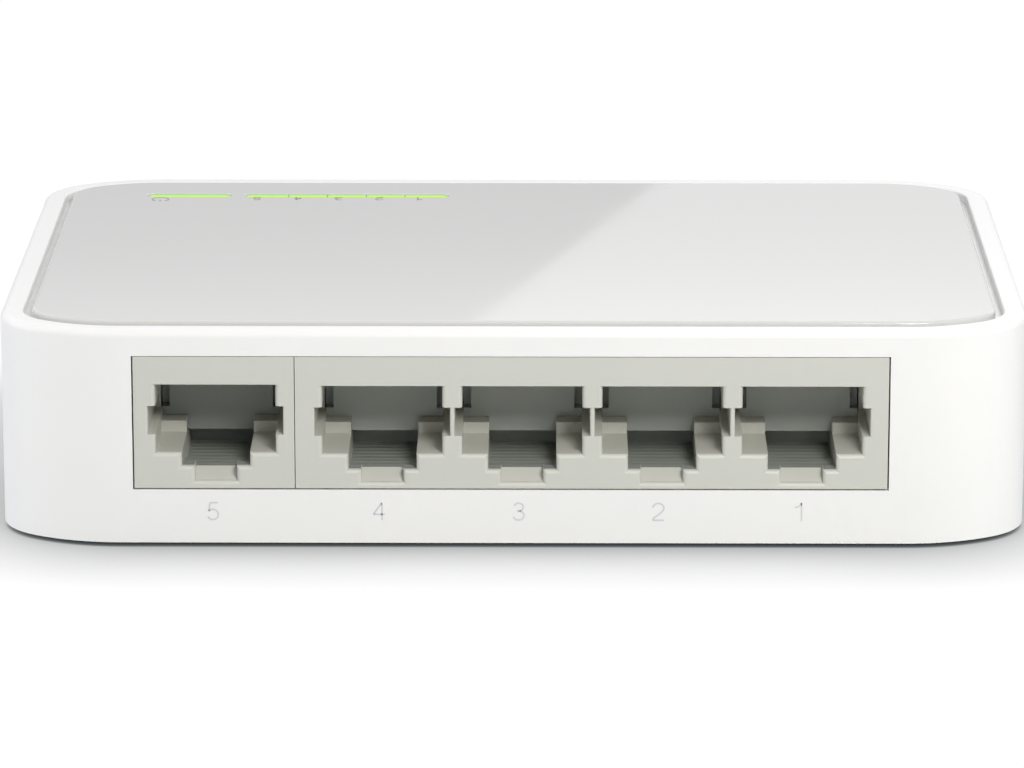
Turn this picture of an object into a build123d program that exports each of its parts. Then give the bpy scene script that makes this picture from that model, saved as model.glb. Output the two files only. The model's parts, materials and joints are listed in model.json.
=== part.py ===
"""Five-port desktop network switch, modelled as the separate pieces it comes apart into.

Units are millimetres. The origin is on the table under the middle of the case, +Z is up, the sockets
face -Y and the row of lights runs along the +Y edge of the top. Ports are numbered 5 to 1 from -X to +X.
"""

from build123d import *
from math import asin, cos, degrees, radians, sin, tan
import os

# ---------------------------------------------------------------- driving dimensions
CASE_W, CASE_D = 103.5, 70.0        # case footprint, X and Y
SHELL_BOTTOM, RIM_TOP = 0.5, 22.35  # the feet lift the shell off the table by the first of these
CORNER_R_LONG, CORNER_R_TIGHT = 16.0, 8.0   # each corner runs from a gentle arc into a tight one
CORNER_TURN = asin(0.55)            # angle of the gentle arc
WALL = 2.0
RIM_W = 2.3                         # flat rim round the recess for the top plate
RECESS_FLOOR = 21.35
DECK_UNDER = 20.1
GROOVE = 0.85                       # open groove between rim and top plate
PLATE_TOP = 22.6
SEAM = 0.15                         # clearance between the two shells

BASE_TOP = 2.1
LIP_TOP, LIP_T = 4.2, 1.2
FOOT_R, FOOT_T, FOOT_RECESS = 4.5, 1.3, 0.8
FOOT_X, FOOT_Y = 43.0, 26.0

BOARD_UNDER, BOARD_TOP = 4.5, 6.1
BOARD_X, BOARD_FRONT, BOARD_REAR = 47.5, -32.4, 29.0

PORT_PITCH = 13.97                  # pitch of ganged 8-way modular jacks
PORT_3_X = 0.94
SINGLE_PORT_X = -29.67
SINGLE_PORT_LIFT = 0.12             # the single jack's mouth is moulded this much higher
JACK_FACE, JACK_BACK = -34.95, -16.5
JACK_BOTTOM, JACK_TOP = 6.15, 19.7
JACKS_X0, JACKS_X1 = -37.84, 37.42  # outer sides of the two jack blocks
JACK_SEAM_X, JACK_SEAM_W = -21.76, 0.08   # where the single block meets the gang of four
WINDOW_GAP = 0.15                   # gap round the jack blocks in the case window

SCREW_R, SCREW_HEAD_R, SCREW_HEAD_H, SCREW_LENGTH = 1.3, 2.4, 1.5, 8.4

LIGHT_Y = 25.4                      # centre line of the light bars
POWER_BAR_X, POWER_BAR_L = -35.8, 9.25
PORT_BAR_X, PORT_BAR_L, PORT_BAR_PITCH = -18.58, 22.36, 4.25
BAR_W = 1.5
PIPE_TOP = 22.15

INLET_Y, INLET_Z = 6.0, 12.4        # axis of the round power inlet in the -X wall

GAP = 0.1                           # general clearance between separate pieces

port_x = {5: SINGLE_PORT_X}
port_x.update({number: PORT_3_X + (3 - number) * PORT_PITCH for number in (4, 3, 2, 1)})
port_lift = {number: SINGLE_PORT_LIFT if number == 5 else 0.0 for number in port_x}


# ---------------------------------------------------------------- helpers
def block(x0, x1, y0, y1, z0, z1):
    """Box between two corners."""
    size = (x1 - x0, y1 - y0, z1 - z0)
    return Pos((x0 + x1) / 2, (y0 + y1) / 2, (z0 + z1) / 2) * Box(*size)


def block_at(x, y, z0, width, depth, height):
    """Box standing on z0 with its middle at x, y."""
    return block(x - width / 2, x + width / 2, y - depth / 2, y + depth / 2, z0, z0 + height)


def post(x, y, z0, z1, radius):
    """Upright cylinder."""
    return Pos(x, y, (z0 + z1) / 2) * Cylinder(radius, z1 - z0)


def case_outline(inset, z):
    """Face with the case's footprint, drawn in by inset, at height z."""
    half_w, half_d = CASE_W / 2, CASE_D / 2
    start_x = half_w - CORNER_R_TIGHT - (CORNER_R_LONG - CORNER_R_TIGHT) * sin(CORNER_TURN)
    long_centre = (start_x, half_d - CORNER_R_LONG)
    step = CORNER_R_LONG - CORNER_R_TIGHT
    tight_centre = (long_centre[0] + step * sin(CORNER_TURN), long_centre[1] + step * cos(CORNER_TURN))
    long_r, tight_r = CORNER_R_LONG - inset, CORNER_R_TIGHT - inset
    meet = 90 - degrees(CORNER_TURN)
    edges = []
    for sx, sy in ((1, 1), (-1, 1), (-1, -1), (1, -1)):
        for centre, radius, start, end in (
            (long_centre, long_r, 90, meet),
            (tight_centre, tight_r, meet, 0),
        ):
            points = []
            for angle in (start, (start + end) / 2, end):
                x = centre[0] + radius * cos(radians(angle))
                y = centre[1] + radius * sin(radians(angle))
                points.append((sx * x, sy * y, z))
            edges.append(ThreePointArc(*points))
    for sign in (1, -1):
        y, x = sign * (half_d - inset), sign * (half_w - inset)
        edges.append(Line((-start_x, y, z), (start_x, y, z)))
        edges.append(Line((x, -tight_centre[1], z), (x, tight_centre[1], z)))
    return make_face(edges)


def case_slab(inset, z0, z1):
    """Solid with the case's footprint, drawn in by inset, between two heights."""
    return extrude(case_outline(inset, z0), amount=z1 - z0, dir=(0, 0, 1))


def slot(x, y, length, width, z0, z1):
    """Upright solid with a round-ended outline along X."""
    half = (length - width) / 2
    straight = block(x - half, x + half, y - width / 2, y + width / 2, z0, z1)
    return straight + post(x - half, y, z0, z1, width / 2) + post(x + half, y, z0, z1, width / 2)


def edges_at_height(solid, z):
    """Edges that lie wholly in the plane at height z."""
    return solid.edges().filter_by_position(Axis.Z, z - 1e-4, z + 1e-4)


def yz_profile(x0, x1, points):
    """Solid from a closed outline of (y, z) points, standing from x0 to x1."""
    outline = Polyline([(x0, y, z) for y, z in points], close=True)
    return extrude(make_face(outline), amount=x1 - x0, dir=(1, 0, 0))


def xz_profile(y0, y1, points):
    """Solid from a closed outline of (x, z) points, standing from y0 to y1."""
    outline = Polyline([(x, y0, z) for x, z in points], close=True)
    return extrude(make_face(outline), amount=y1 - y0, dir=(0, 1, 0))


def group(solids):
    """Separate solids that share one node."""
    return Compound(children=[s for solid in solids for s in solid.solids()])


# ---------------------------------------------------------------- the case
BOSS_R = 3.0
REST_POSTS = ((FOOT_X + 1.5, 20.0), (-FOOT_X - 1.5, 20.0))
HOOK_X, HOOK_W, HOOK_Z0, HOOK_Z1, HOOK_OUT = 26.0, 8.0, 2.9, 3.9, 0.5
INLET_W, INLET_H, INLET_L = 9.0, 10.9, 14.0
INLET_FACE_X = -CASE_W / 2 + 0.25


def make_upper_shell():
    shell = case_slab(0, SHELL_BOTTOM, RIM_TOP)
    shell = fillet(edges_at_height(shell, RIM_TOP), 0.75)
    shell -= case_slab(RIM_W, RECESS_FLOOR, RIM_TOP + 1)
    inner_rim = [e for e in edges_at_height(shell, RIM_TOP) if abs(e.center().Y) < CASE_D / 2 - RIM_W + 0.1]
    inner_rim = [e for e in inner_rim if abs(e.center().X) < CASE_W / 2 - RIM_W + 0.1]
    shell = fillet(inner_rim, 0.2)
    shell -= case_slab(WALL, SHELL_BOTTOM - 1, DECK_UNDER)
    shell -= block(
        JACKS_X0 - WINDOW_GAP, JACKS_X1 + WINDOW_GAP, -CASE_D / 2 - 1, -CASE_D / 2 + WALL + 0.5,
        JACK_BOTTOM - WINDOW_GAP, JACK_TOP + WINDOW_GAP / 2,
    )
    shell -= block(
        -CASE_W / 2 - 1, -CASE_W / 2 + WALL + 0.5,
        INLET_Y - INLET_W / 2 - 0.2, INLET_Y + INLET_W / 2 + 0.2,
        JACK_BOTTOM - 0.2, JACK_BOTTOM + INLET_H + 0.2,
    )
    for x, length in ((POWER_BAR_X, POWER_BAR_L), (PORT_BAR_X, PORT_BAR_L)):
        shell -= slot(x, LIGHT_Y, length, BAR_W, DECK_UNDER - 1, RIM_TOP)
    for sx in (-1, 1):
        boss = post(sx * FOOT_X, -FOOT_Y, BOARD_TOP + GAP, DECK_UNDER, BOSS_R)
        shell += boss - post(sx * FOOT_X, -FOOT_Y, BOARD_TOP, BOARD_TOP + 8, SCREW_R + 0.02)
        hook_y = CASE_D / 2 - WALL
        shell -= block_at(sx * HOOK_X, hook_y, HOOK_Z0 - 0.15, HOOK_W + 0.6, 2 * HOOK_OUT + 0.3, 1.3)
    for x, y in REST_POSTS:
        shell += post(x, y, BOARD_TOP + GAP, DECK_UNDER, 1.75)
    return shell


def make_top_plate():
    inset = RIM_W + GROOVE
    plate = case_slab(inset, RECESS_FLOOR, PLATE_TOP)
    plate = fillet(edges_at_height(plate, PLATE_TOP), 0.35)
    for x, length in ((POWER_BAR_X, POWER_BAR_L), (PORT_BAR_X, PORT_BAR_L)):
        plate -= slot(x, LIGHT_Y, length, BAR_W, RECESS_FLOOR - 1, PLATE_TOP + 1)
    face = plate.faces().sort_by(Axis.Z)[-1]
    return fillet([e for wire in face.inner_wires() for e in wire.edges()], 0.15)


VENT_L, VENT_W, VENT_PITCH, VENT_ROWS = 14.0, 1.6, 4.0, 6


def make_lower_shell():
    inset = WALL + SEAM
    shell = case_slab(inset, SHELL_BOTTOM, BASE_TOP)
    shell = chamfer(edges_at_height(shell, SHELL_BOTTOM), 0.3)
    lip = case_slab(inset, BASE_TOP, LIP_TOP) - case_slab(inset + LIP_T, BASE_TOP - 1, LIP_TOP + 1)
    shell += lip
    for sx in (-1, 1):
        shell += post(sx * FOOT_X, -FOOT_Y, BASE_TOP, BOARD_UNDER, BOSS_R)
        hook_y = CASE_D / 2 - inset
        hook = [(hook_y - 0.3, HOOK_Z0), (hook_y + HOOK_OUT, HOOK_Z0)]
        hook += [(hook_y, HOOK_Z1), (hook_y - 0.3, HOOK_Z1)]
        shell += yz_profile(sx * HOOK_X - HOOK_W / 2, sx * HOOK_X + HOOK_W / 2, hook)
    for x, y in (*REST_POSTS, (0.0, 20.0), (0.0, -4.0)):
        shell += post(x, y, BASE_TOP, BOARD_UNDER, 2.0)
    for sx in (-1, 1):
        for sy in (-1, 1):
            recess_top = SHELL_BOTTOM + FOOT_RECESS
            shell -= post(sx * FOOT_X, sy * FOOT_Y, SHELL_BOTTOM - 1, recess_top, FOOT_R + 0.1)
        head_seat = SHELL_BOTTOM + FOOT_RECESS + SCREW_HEAD_H + GAP
        shell -= post(sx * FOOT_X, -FOOT_Y, SHELL_BOTTOM, head_seat, SCREW_HEAD_R + 0.2)
        shell -= post(sx * FOOT_X, -FOOT_Y, SHELL_BOTTOM, BOARD_UNDER + 1, SCREW_R + 0.2)
        for row in range(VENT_ROWS):
            y = (row - (VENT_ROWS - 1) / 2) * VENT_PITCH + 8.0
            shell -= slot(sx * 22.0, y, VENT_L, VENT_W, SHELL_BOTTOM - 1, BASE_TOP + 1)
    shell -= block_at(0, -18.0, SHELL_BOTTOM - 1, 46.4, 18.4, 1.0 + LABEL_RECESS)
    return shell


LABEL_RECESS = 0.2


def make_rating_label():
    return block_at(0, -18.0, SHELL_BOTTOM + LABEL_RECESS - 0.15, 46.0, 18.0, 0.15)


def make_foot(sx, sy):
    foot = post(sx * FOOT_X, sy * FOOT_Y, 0, FOOT_T, FOOT_R)
    return fillet(edges_at_height(foot, 0), 0.3)


def make_case_screws():
    screws = []
    for sx in (-1, 1):
        z0 = SHELL_BOTTOM + FOOT_RECESS + GAP
        head = post(sx * FOOT_X, -FOOT_Y, z0, z0 + SCREW_HEAD_H, SCREW_HEAD_R)
        head = fillet(edges_at_height(head, z0), 0.5)
        shank = post(sx * FOOT_X, -FOOT_Y, z0 + SCREW_HEAD_H, z0 + SCREW_HEAD_H + SCREW_LENGTH, SCREW_R)
        shank = chamfer(edges_at_height(shank, z0 + SCREW_HEAD_H + SCREW_LENGTH), 0.5)
        cross = block_at(sx * FOOT_X, -FOOT_Y, z0 - 1, 2.6, 0.6, 1.9)
        cross += block_at(sx * FOOT_X, -FOOT_Y, z0 - 1, 0.6, 2.6, 1.9)
        screws.append(head + shank - cross)
    return group(screws)


# ---------------------------------------------------------------- modular jacks
PLUG_W, PLUG_TOP, PLUG_FLOOR = 11.97, 16.73, 9.68
NOTCH_W, NOTCH_Z0, NOTCH_Z1 = 13.5, 11.57, 14.5
LATCH_W, LATCH_FLOOR = 6.81, 7.8
GANG_SHELF, SINGLE_SHELF = 8.07, 8.3   # entry shelf of the latch slot, below each jack's lift
LATCH_DROP_Y, LATCH_DROP_Z = -29.9, 7.1
TAIL_W, TAIL_FLOOR, TAIL_BACK = 4.19, 6.77, -32.9   # a ramp from the mouth up to the latch floor
STOP_Y, STOP_Z = -26.8, 10.82      # step at the back of the ledges beside the latch slot
PANEL_Y, PANEL_BOTTOM = -24.45, 9.35  # front face and lower edge of the contact carrier
PANEL_W, PANEL_WIDE_Z = 10.5, 11.7
SHOULDER = 1.3                      # how far the carrier's shoulders lie behind its panel
LEG_Y = -20.6                       # front of the carrier's rear leg
CARRIER_W, CARRIER_TOP, CARRIER_BACK = 12.1, 17.05, -19.3
ROOF_FRONT, ROOF_TOP = -33.5, 18.3
PEG_Y, PEG_R, PEG_DX = -26.5, 1.55, 5.6

WIRE_W, WIRE_T, WIRE_PITCH = 0.36, 0.3, 1.02
WIRES = 8
BEND_Y, BEND_Z, BEND_R = -32.6, 16.95, 0.4   # the fold at the front of each contact wire
FINGER_SLOPE, FINGER_L = radians(14.5), 8.7
PIN_ROWS = (-18.6, -17.2)           # the wires drop to the board in two staggered rows
PIN_BOTTOM = 3.4


def cut_port(solid, x, lift, shelf):
    """Opens one port's plug cavity, latch slot and carrier pocket in a jack body."""
    front = JACK_FACE - 1
    half = PLUG_W / 2
    back = JACK_BACK + 1
    pocket = (CARRIER_W + 2 * GAP) / 2
    cavity = block(x - half, x + half, front, STOP_Y, PLUG_FLOOR, PLUG_TOP)
    cavity += block(x - half, x + half, STOP_Y - 0.1, PANEL_Y, STOP_Z, PLUG_TOP)
    cavity += block(x - NOTCH_W / 2, x + NOTCH_W / 2, front, PANEL_Y, NOTCH_Z0, NOTCH_Z1)
    cavity += block(x - LATCH_W / 2, x + LATCH_W / 2, front, PANEL_Y, shelf, STOP_Z)
    cavity += block(x - LATCH_W / 2, x + LATCH_W / 2, TAIL_BACK, LEG_Y, LATCH_FLOOR, PANEL_BOTTOM + 0.1)
    cavity += block(x - LATCH_W / 2, x + LATCH_W / 2, LATCH_DROP_Y, LEG_Y, LATCH_DROP_Z, LATCH_FLOOR + 0.1)
    ramp = [(front, TAIL_FLOOR), (JACK_FACE + 0.5, TAIL_FLOOR), (TAIL_BACK + 0.1, LATCH_FLOOR)]
    ramp += [(TAIL_BACK + 0.1, shelf + 0.1), (front, shelf + 0.1)]
    cavity += yz_profile(x - TAIL_W / 2, x + TAIL_W / 2, ramp)
    cavity += block(x - 4.3, x + 4.3, ROOF_FRONT, PANEL_Y, PLUG_TOP - 0.1, ROOF_TOP)
    cavity += block(x - pocket, x + pocket, PANEL_Y - GAP, back, PANEL_BOTTOM - GAP, ROOF_TOP)
    cavity += block(x - pocket, x + pocket, LEG_Y - GAP, back, JACK_BOTTOM - 1, PANEL_BOTTOM)
    return solid - Pos(0, 0, lift) * cavity


MOUTH_R, WEB_R = 0.42, 0.2          # rounding of the mouths' edges, and of those beside the thin webs


def soften_mouths(solid, numbers):
    """Rounds the moulded edges round each port's mouth, least beside the thin webs between ports."""
    near, far = JACK_FACE - 1e-3, JACK_FACE + 1e-3
    face = solid.faces().filter_by_position(Axis.Y, near, far).sort_by(SortBy.AREA)[-1]
    edges = [e for wire in face.inner_wires() for e in wire.edges()]
    wide = []
    for edge in edges:
        out = min(abs(edge.center().X - port_x[number]) for number in numbers)
        if out < PLUG_W / 2 + 0.05 and edge.center().Z < PLUG_TOP - 0.1:
            wide.append(edge)
    solid = fillet(wide, MOUTH_R)
    webs = []
    for edge in solid.edges().filter_by(Axis.Z).filter_by_position(Axis.Y, near, far):
        out = min(abs(abs(edge.center().X - port_x[number]) - NOTCH_W / 2) for number in numbers)
        if out < 0.01:
            webs.append(edge)
    return fillet(webs, WEB_R)


def make_jack_body(x0, x1, numbers, peg_xs):
    body = block(x0, x1, JACK_FACE, JACK_BACK, JACK_BOTTOM, JACK_TOP)
    for number in numbers:
        shelf = SINGLE_SHELF if number == 5 else GANG_SHELF
        body = cut_port(body, port_x[number], port_lift[number], shelf)
    body = soften_mouths(body, numbers)
    for x in peg_xs:
        peg = post(x, PEG_Y, BOARD_UNDER - 0.6, JACK_BOTTOM + 0.5, PEG_R)
        body += chamfer(edges_at_height(peg, BOARD_UNDER - 0.6), 0.4)
    return body


single_x0, single_x1 = JACKS_X0, JACK_SEAM_X - JACK_SEAM_W / 2
gang_x0, gang_x1 = JACK_SEAM_X + JACK_SEAM_W / 2, JACKS_X1
single_pegs = (SINGLE_PORT_X - PEG_DX, SINGLE_PORT_X + PEG_DX)
gang_pegs = (port_x[4] - PEG_DX, (port_x[3] + port_x[2]) / 2, port_x[1] + PEG_DX)


def make_carrier(x):
    """Moulded insert that closes the back of a port's cavity and holds its eight wires."""
    half, slim = CARRIER_W / 2, PANEL_W / 2
    carrier = block(x - half, x + half, PANEL_Y, CARRIER_BACK, PANEL_BOTTOM, PANEL_WIDE_Z)
    carrier += block(x - slim, x + slim, PANEL_Y, CARRIER_BACK, PANEL_BOTTOM, CARRIER_TOP)
    carrier += block(x - half, x + half, PANEL_Y + SHOULDER, CARRIER_BACK, PANEL_BOTTOM, CARRIER_TOP)
    carrier += block(x - half, x + half, LEG_Y, CARRIER_BACK, JACK_BOTTOM, CARRIER_TOP)
    for wire_x in wire_positions(x):
        carrier -= block(wire_x - 0.26, wire_x + 0.26, PANEL_Y - 1, PANEL_Y + 1.6, 14.15, CARRIER_TOP + 1)
    return carrier


def wire_positions(x):
    return [x + (i - (WIRES - 1) / 2) * WIRE_PITCH for i in range(WIRES)]


def make_contact_leads(x):
    """Fixed part of the eight wires: the fold, the run over the carrier and the pin into the board."""
    leads = []
    inner, outer = BEND_R - WIRE_T / 2, BEND_R + WIRE_T / 2
    for i, wire_x in enumerate(wire_positions(x)):
        row = PIN_ROWS[i % 2]
        x0, x1 = wire_x - WIRE_W / 2, wire_x + WIRE_W / 2
        ring = Cylinder(outer, WIRE_W) - Cylinder(inner, WIRE_W + 1)
        ring = Pos(wire_x, BEND_Y, BEND_Z) * Rot(0, 90, 0) * ring
        fold = ring & block(x0, x1, BEND_Y - 2, BEND_Y, BEND_Z - 2, BEND_Z + 2)
        run = block(x0, x1, BEND_Y, row + WIRE_T, BEND_Z + inner, BEND_Z + outer)
        pin = block(x0, x1, row, row + WIRE_T, PIN_BOTTOM, BEND_Z + outer)
        leads.append(fold + run + pin)
    return group(leads)


def make_contact_fingers(x):
    """Springing part of the eight wires, sloping down and back from the fold."""
    top, bottom = -BEND_R + WIRE_T / 2, -BEND_R - WIRE_T / 2
    fingers = []
    for wire_x in wire_positions(x):
        outline = []
        for along, height in ((0.03, top), (FINGER_L, top), (FINGER_L, bottom), (0.03, bottom)):
            y = BEND_Y + along * cos(FINGER_SLOPE)
            z = BEND_Z + height - along * sin(FINGER_SLOPE)
            outline.append((y, z))
        fingers.append(yz_profile(wire_x - WIRE_W / 2, wire_x + WIRE_W / 2, outline))
    return group(fingers)


# ---------------------------------------------------------------- power inlet
BARREL_R, BARREL_DEPTH = 3.15, 9.6
PIN_R, PIN_TIP = 1.0, 1.2
SPRING_W, SPRING_T = 2.4, 0.3
SPRING_ROOT_X, SPRING_TIP_X = INLET_FACE_X + 12.2, INLET_FACE_X + 4.0
SPRING_Z = INLET_Z - BARREL_R - 0.55   # the spring's root lies below the barrel


def along_x(x0, x1, y, z, radius):
    """Cylinder lying along X."""
    return Pos((x0 + x1) / 2, y, z) * Rot(0, 90, 0) * Cylinder(radius, x1 - x0)


def make_inlet_body():
    x0, x1 = INLET_FACE_X, INLET_FACE_X + INLET_L
    body = block(x0, x1, INLET_Y - INLET_W / 2, INLET_Y + INLET_W / 2, JACK_BOTTOM, JACK_BOTTOM + INLET_H)
    body = chamfer(body.edges().filter_by(Axis.X).sort_by(Axis.Z)[-2:], 1.0)
    body -= along_x(x0 - 1, x0 + BARREL_DEPTH, INLET_Y, INLET_Z, BARREL_R)
    body -= along_x(x0 + BARREL_DEPTH - 1, x1 + 1, INLET_Y, INLET_Z, PIN_R + 0.02)
    body -= block(
        SPRING_TIP_X - 1.0, x1 + 1, INLET_Y - SPRING_W / 2 - 0.2, INLET_Y + SPRING_W / 2 + 0.2,
        SPRING_Z - 0.9, INLET_Z - 1.6,
    ) - block(x0 + BARREL_DEPTH, x1 + 2, INLET_Y - 3, INLET_Y + 3, SPRING_Z + 0.9, INLET_Z)
    half = SPRING_W / 2 + 0.2
    body -= block(x1 - 0.8, x1 + 1, INLET_Y - half, INLET_Y + half, JACK_BOTTOM - 1, SPRING_Z)
    return body


def make_inlet_pin():
    """Centre pin with its rear terminal."""
    x1 = INLET_FACE_X + INLET_L
    pin = along_x(INLET_FACE_X + PIN_TIP, x1 + 0.6, INLET_Y, INLET_Z, PIN_R)
    pin = fillet(pin.edges().sort_by(Axis.X)[0], 0.4)
    tail = block(x1 + 0.1, x1 + 0.6, INLET_Y - 1.0, INLET_Y + 1.0, BOARD_UNDER - 1.0, INLET_Z)
    return pin + tail


def make_inlet_spring():
    """Sleeve contact: a leaf hinged at its root that humps up into the barrel."""
    hump = INLET_Z - BARREL_R + 0.45
    root, tip, z = SPRING_ROOT_X, SPRING_TIP_X, SPRING_Z
    top = [(tip, z + 0.2), (tip + 2.0, hump), (tip + 2.9, hump), (root, z)]
    outline = top + [(x, height - SPRING_T) for x, height in reversed(top)]
    return xz_profile(INLET_Y - SPRING_W / 2, INLET_Y + SPRING_W / 2, outline)


def make_inlet_terminals():
    """Fixed root of the sleeve spring, and the side terminal that steadies the inlet."""
    x1 = INLET_FACE_X + INLET_L
    half = SPRING_W / 2
    y0, y1 = INLET_Y - half, INLET_Y + half
    foot = block(SPRING_ROOT_X + 0.05, x1 - 0.35, y0, y1, SPRING_Z - SPRING_T, SPRING_Z)
    foot += block(x1 - 0.65, x1 - 0.35, INLET_Y - half, INLET_Y + half, BOARD_UNDER - 1.0, SPRING_Z)
    side_y = INLET_Y + INLET_W / 2
    side = block(x1 - 8.0, x1 - 5.5, side_y + 0.05, side_y + 0.35, BOARD_UNDER - 1.0, INLET_Z)
    return group([foot, side])


# ---------------------------------------------------------------- lights
FLANGE_W, FLANGE_T = 2.8, 0.8
STEM_W, STEM_D, STEM_BOTTOM = 2.4, 1.3, 7.3
HOLDER_H = 3.2


def light_pipe(x, bar_x, bar_l, head_l):
    """One clear pipe: its head fills its share of the slot in the plate, its stem stands over its light."""
    head = slot(bar_x, LIGHT_Y, bar_l - 2 * GAP, BAR_W - 2 * GAP, DECK_UNDER, PIPE_TOP)
    head &= block(x - head_l / 2, x + head_l / 2, LIGHT_Y - 2, LIGHT_Y + 2, DECK_UNDER, PIPE_TOP)
    flange_l = min(head_l, PORT_BAR_PITCH - 0.12)
    flange = block_at(x, LIGHT_Y, DECK_UNDER - FLANGE_T, flange_l, FLANGE_W, FLANGE_T)
    stem = block_at(x, LIGHT_Y, STEM_BOTTOM, STEM_W, STEM_D, DECK_UNDER - FLANGE_T - STEM_BOTTOM)
    return head + flange + stem


def light_x(number):
    return PORT_BAR_X + (3 - number) * PORT_BAR_PITCH


def make_port_pipe(number):
    x = light_x(number)
    if number in (1, 5):            # the end pipes also fill the slot's round ends
        end = PORT_BAR_X + (1 if number == 1 else -1) * PORT_BAR_L / 2
        inner = x - (1 if number == 1 else -1) * (PORT_BAR_PITCH / 2 - 0.06)
        head = slot(PORT_BAR_X, LIGHT_Y, PORT_BAR_L - 2 * GAP, BAR_W - 2 * GAP, DECK_UNDER, PIPE_TOP)
        head &= block(min(end, inner), max(end, inner), LIGHT_Y - 2, LIGHT_Y + 2, DECK_UNDER, PIPE_TOP)
        return light_pipe(x, PORT_BAR_X, PORT_BAR_L, PORT_BAR_PITCH - 0.12) + head
    return light_pipe(x, PORT_BAR_X, PORT_BAR_L, PORT_BAR_PITCH - 0.12)


def make_power_pipe():
    return light_pipe(POWER_BAR_X, POWER_BAR_X, POWER_BAR_L, POWER_BAR_L)


def make_pipe_holder():
    """Opaque bridge that clamps the pipes' flanges under the deck and keeps their light apart."""
    top = DECK_UNDER - FLANGE_T
    x0, x1 = POWER_BAR_X - 4.0, light_x(1) + 4.0
    holder = block(x0, x1, LIGHT_Y - 3.2, LIGHT_Y + 3.2, top - HOLDER_H, top)
    for x in (POWER_BAR_X, *[light_x(n) for n in (1, 2, 3, 4, 5)]):
        holder -= block_at(x, LIGHT_Y, top - HOLDER_H - 1, STEM_W + 0.2, STEM_D + 0.2, HOLDER_H + 2)
    for x in (x0 + 1.5, x1 - 1.5):
        for dy in (-2.3, 2.3):
            holder += post(x, LIGHT_Y + dy, top - 0.5, DECK_UNDER, 0.6)
    return holder


def make_light(x):
    """Surface-mount light: pale ceramic base with a clear dome block."""
    base = block_at(x, LIGHT_Y, BOARD_TOP, 1.6, 0.8, 0.3)
    lens = block_at(x, LIGHT_Y, BOARD_TOP + 0.3, 1.1, 0.8, 0.4)
    return base + lens


# ---------------------------------------------------------------- board and its parts
def make_board():
    front, rear = 6.0, 4.0
    outline = Polyline(
        (-BOARD_X + front, BOARD_FRONT), (BOARD_X - front, BOARD_FRONT), (BOARD_X, BOARD_FRONT + front),
        (BOARD_X, BOARD_REAR - rear), (BOARD_X - rear, BOARD_REAR), (-BOARD_X + rear, BOARD_REAR),
        (-BOARD_X, BOARD_REAR - rear), (-BOARD_X, BOARD_FRONT + front), close=True,
    )
    board = Pos(0, 0, BOARD_UNDER) * extrude(make_face(outline), amount=BOARD_TOP - BOARD_UNDER)
    z0, z1 = BOARD_UNDER - 1, BOARD_TOP + 1
    for sx in (-1, 1):
        board -= post(sx * FOOT_X, -FOOT_Y, z0, z1, SCREW_R + 0.3)
    for x in (*single_pegs, *gang_pegs):
        board -= post(x, PEG_Y, z0, z1, PEG_R + 0.08)
    holes = []
    for number in port_x:
        for i, wire_x in enumerate(wire_positions(port_x[number])):
            holes.append(post(wire_x, PIN_ROWS[i % 2] + WIRE_T / 2, z0, z1, 0.4))
    x1 = INLET_FACE_X + INLET_L
    holes.append(block(x1 - 0.1, x1 + 0.8, INLET_Y - 1.2, INLET_Y + 1.2, z0, z1))
    holes.append(block(x1 - 0.75, x1 - 0.25, INLET_Y - 1.4, INLET_Y + 1.4, z0, z1))
    side_y = INLET_Y + INLET_W / 2
    holes.append(block(x1 - 8.2, x1 - 5.3, side_y, side_y + 0.5, z0, z1))
    for x, y, can_r in (CAP_LARGE, CAP_SMALL):
        for dx in (-can_r / 2, can_r / 2):
            holes.append(post(x + dx, y, z0, z1, 0.35))
    return board - Compound(children=holes)


CAP_LARGE, CAP_SMALL = (-30.0, 12.5, 4.0), (-41.5, -8.0, 3.15)
CAP_HEIGHT = 11.5


def make_capacitor(x, y, radius):
    can = post(x, y, BOARD_TOP + 0.2, BOARD_TOP + CAP_HEIGHT, radius)
    can = fillet(edges_at_height(can, BOARD_TOP + CAP_HEIGHT), 0.4)
    groove = post(x, y, BOARD_TOP + 1.4, BOARD_TOP + 2.0, radius + 1)
    can -= groove - post(x, y, BOARD_TOP + 1.4, BOARD_TOP + 2.0, radius - 0.25)
    for dx in (-radius / 2, radius / 2):
        can += post(x + dx, y, BOARD_UNDER - 0.8, BOARD_TOP + 0.3, 0.25)
    return can


def gull_wing(x, y, direction, reach, seat, width, thick=0.2):
    """One gull-wing lead leaving a package at height seat along +X, -X, +Y or -Y."""
    profile = [
        (0, seat), (reach * 0.35, seat), (reach * 0.55, BOARD_TOP + thick), (reach, BOARD_TOP + thick),
        (reach, BOARD_TOP), (reach * 0.4, BOARD_TOP), (reach * 0.2, seat - thick), (0, seat - thick),
    ]
    lead = yz_profile(-width / 2, width / 2, profile)
    turn = {"+Y": 0, "-X": 90, "-Y": 180, "+X": 270}[direction]
    return Pos(x, y, 0) * Rot(0, 0, turn) * lead


CHIP_X, CHIP_Y, CHIP_SIDE, CHIP_H = 8.0, 6.0, 14.0, 1.5
CHIP_LEADS, CHIP_PITCH = 16, 0.8


def make_chip():
    chip = block_at(CHIP_X, CHIP_Y, BOARD_TOP + 0.1, CHIP_SIDE, CHIP_SIDE, CHIP_H)
    chip = chamfer(chip.edges().filter_by(Axis.Z), 0.6)
    inwards, chip_top = 1.8 - CHIP_SIDE / 2, BOARD_TOP + CHIP_H
    mark = post(CHIP_X + inwards, CHIP_Y + inwards, chip_top, chip_top + 1, 0.6)
    return chip - mark


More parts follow.
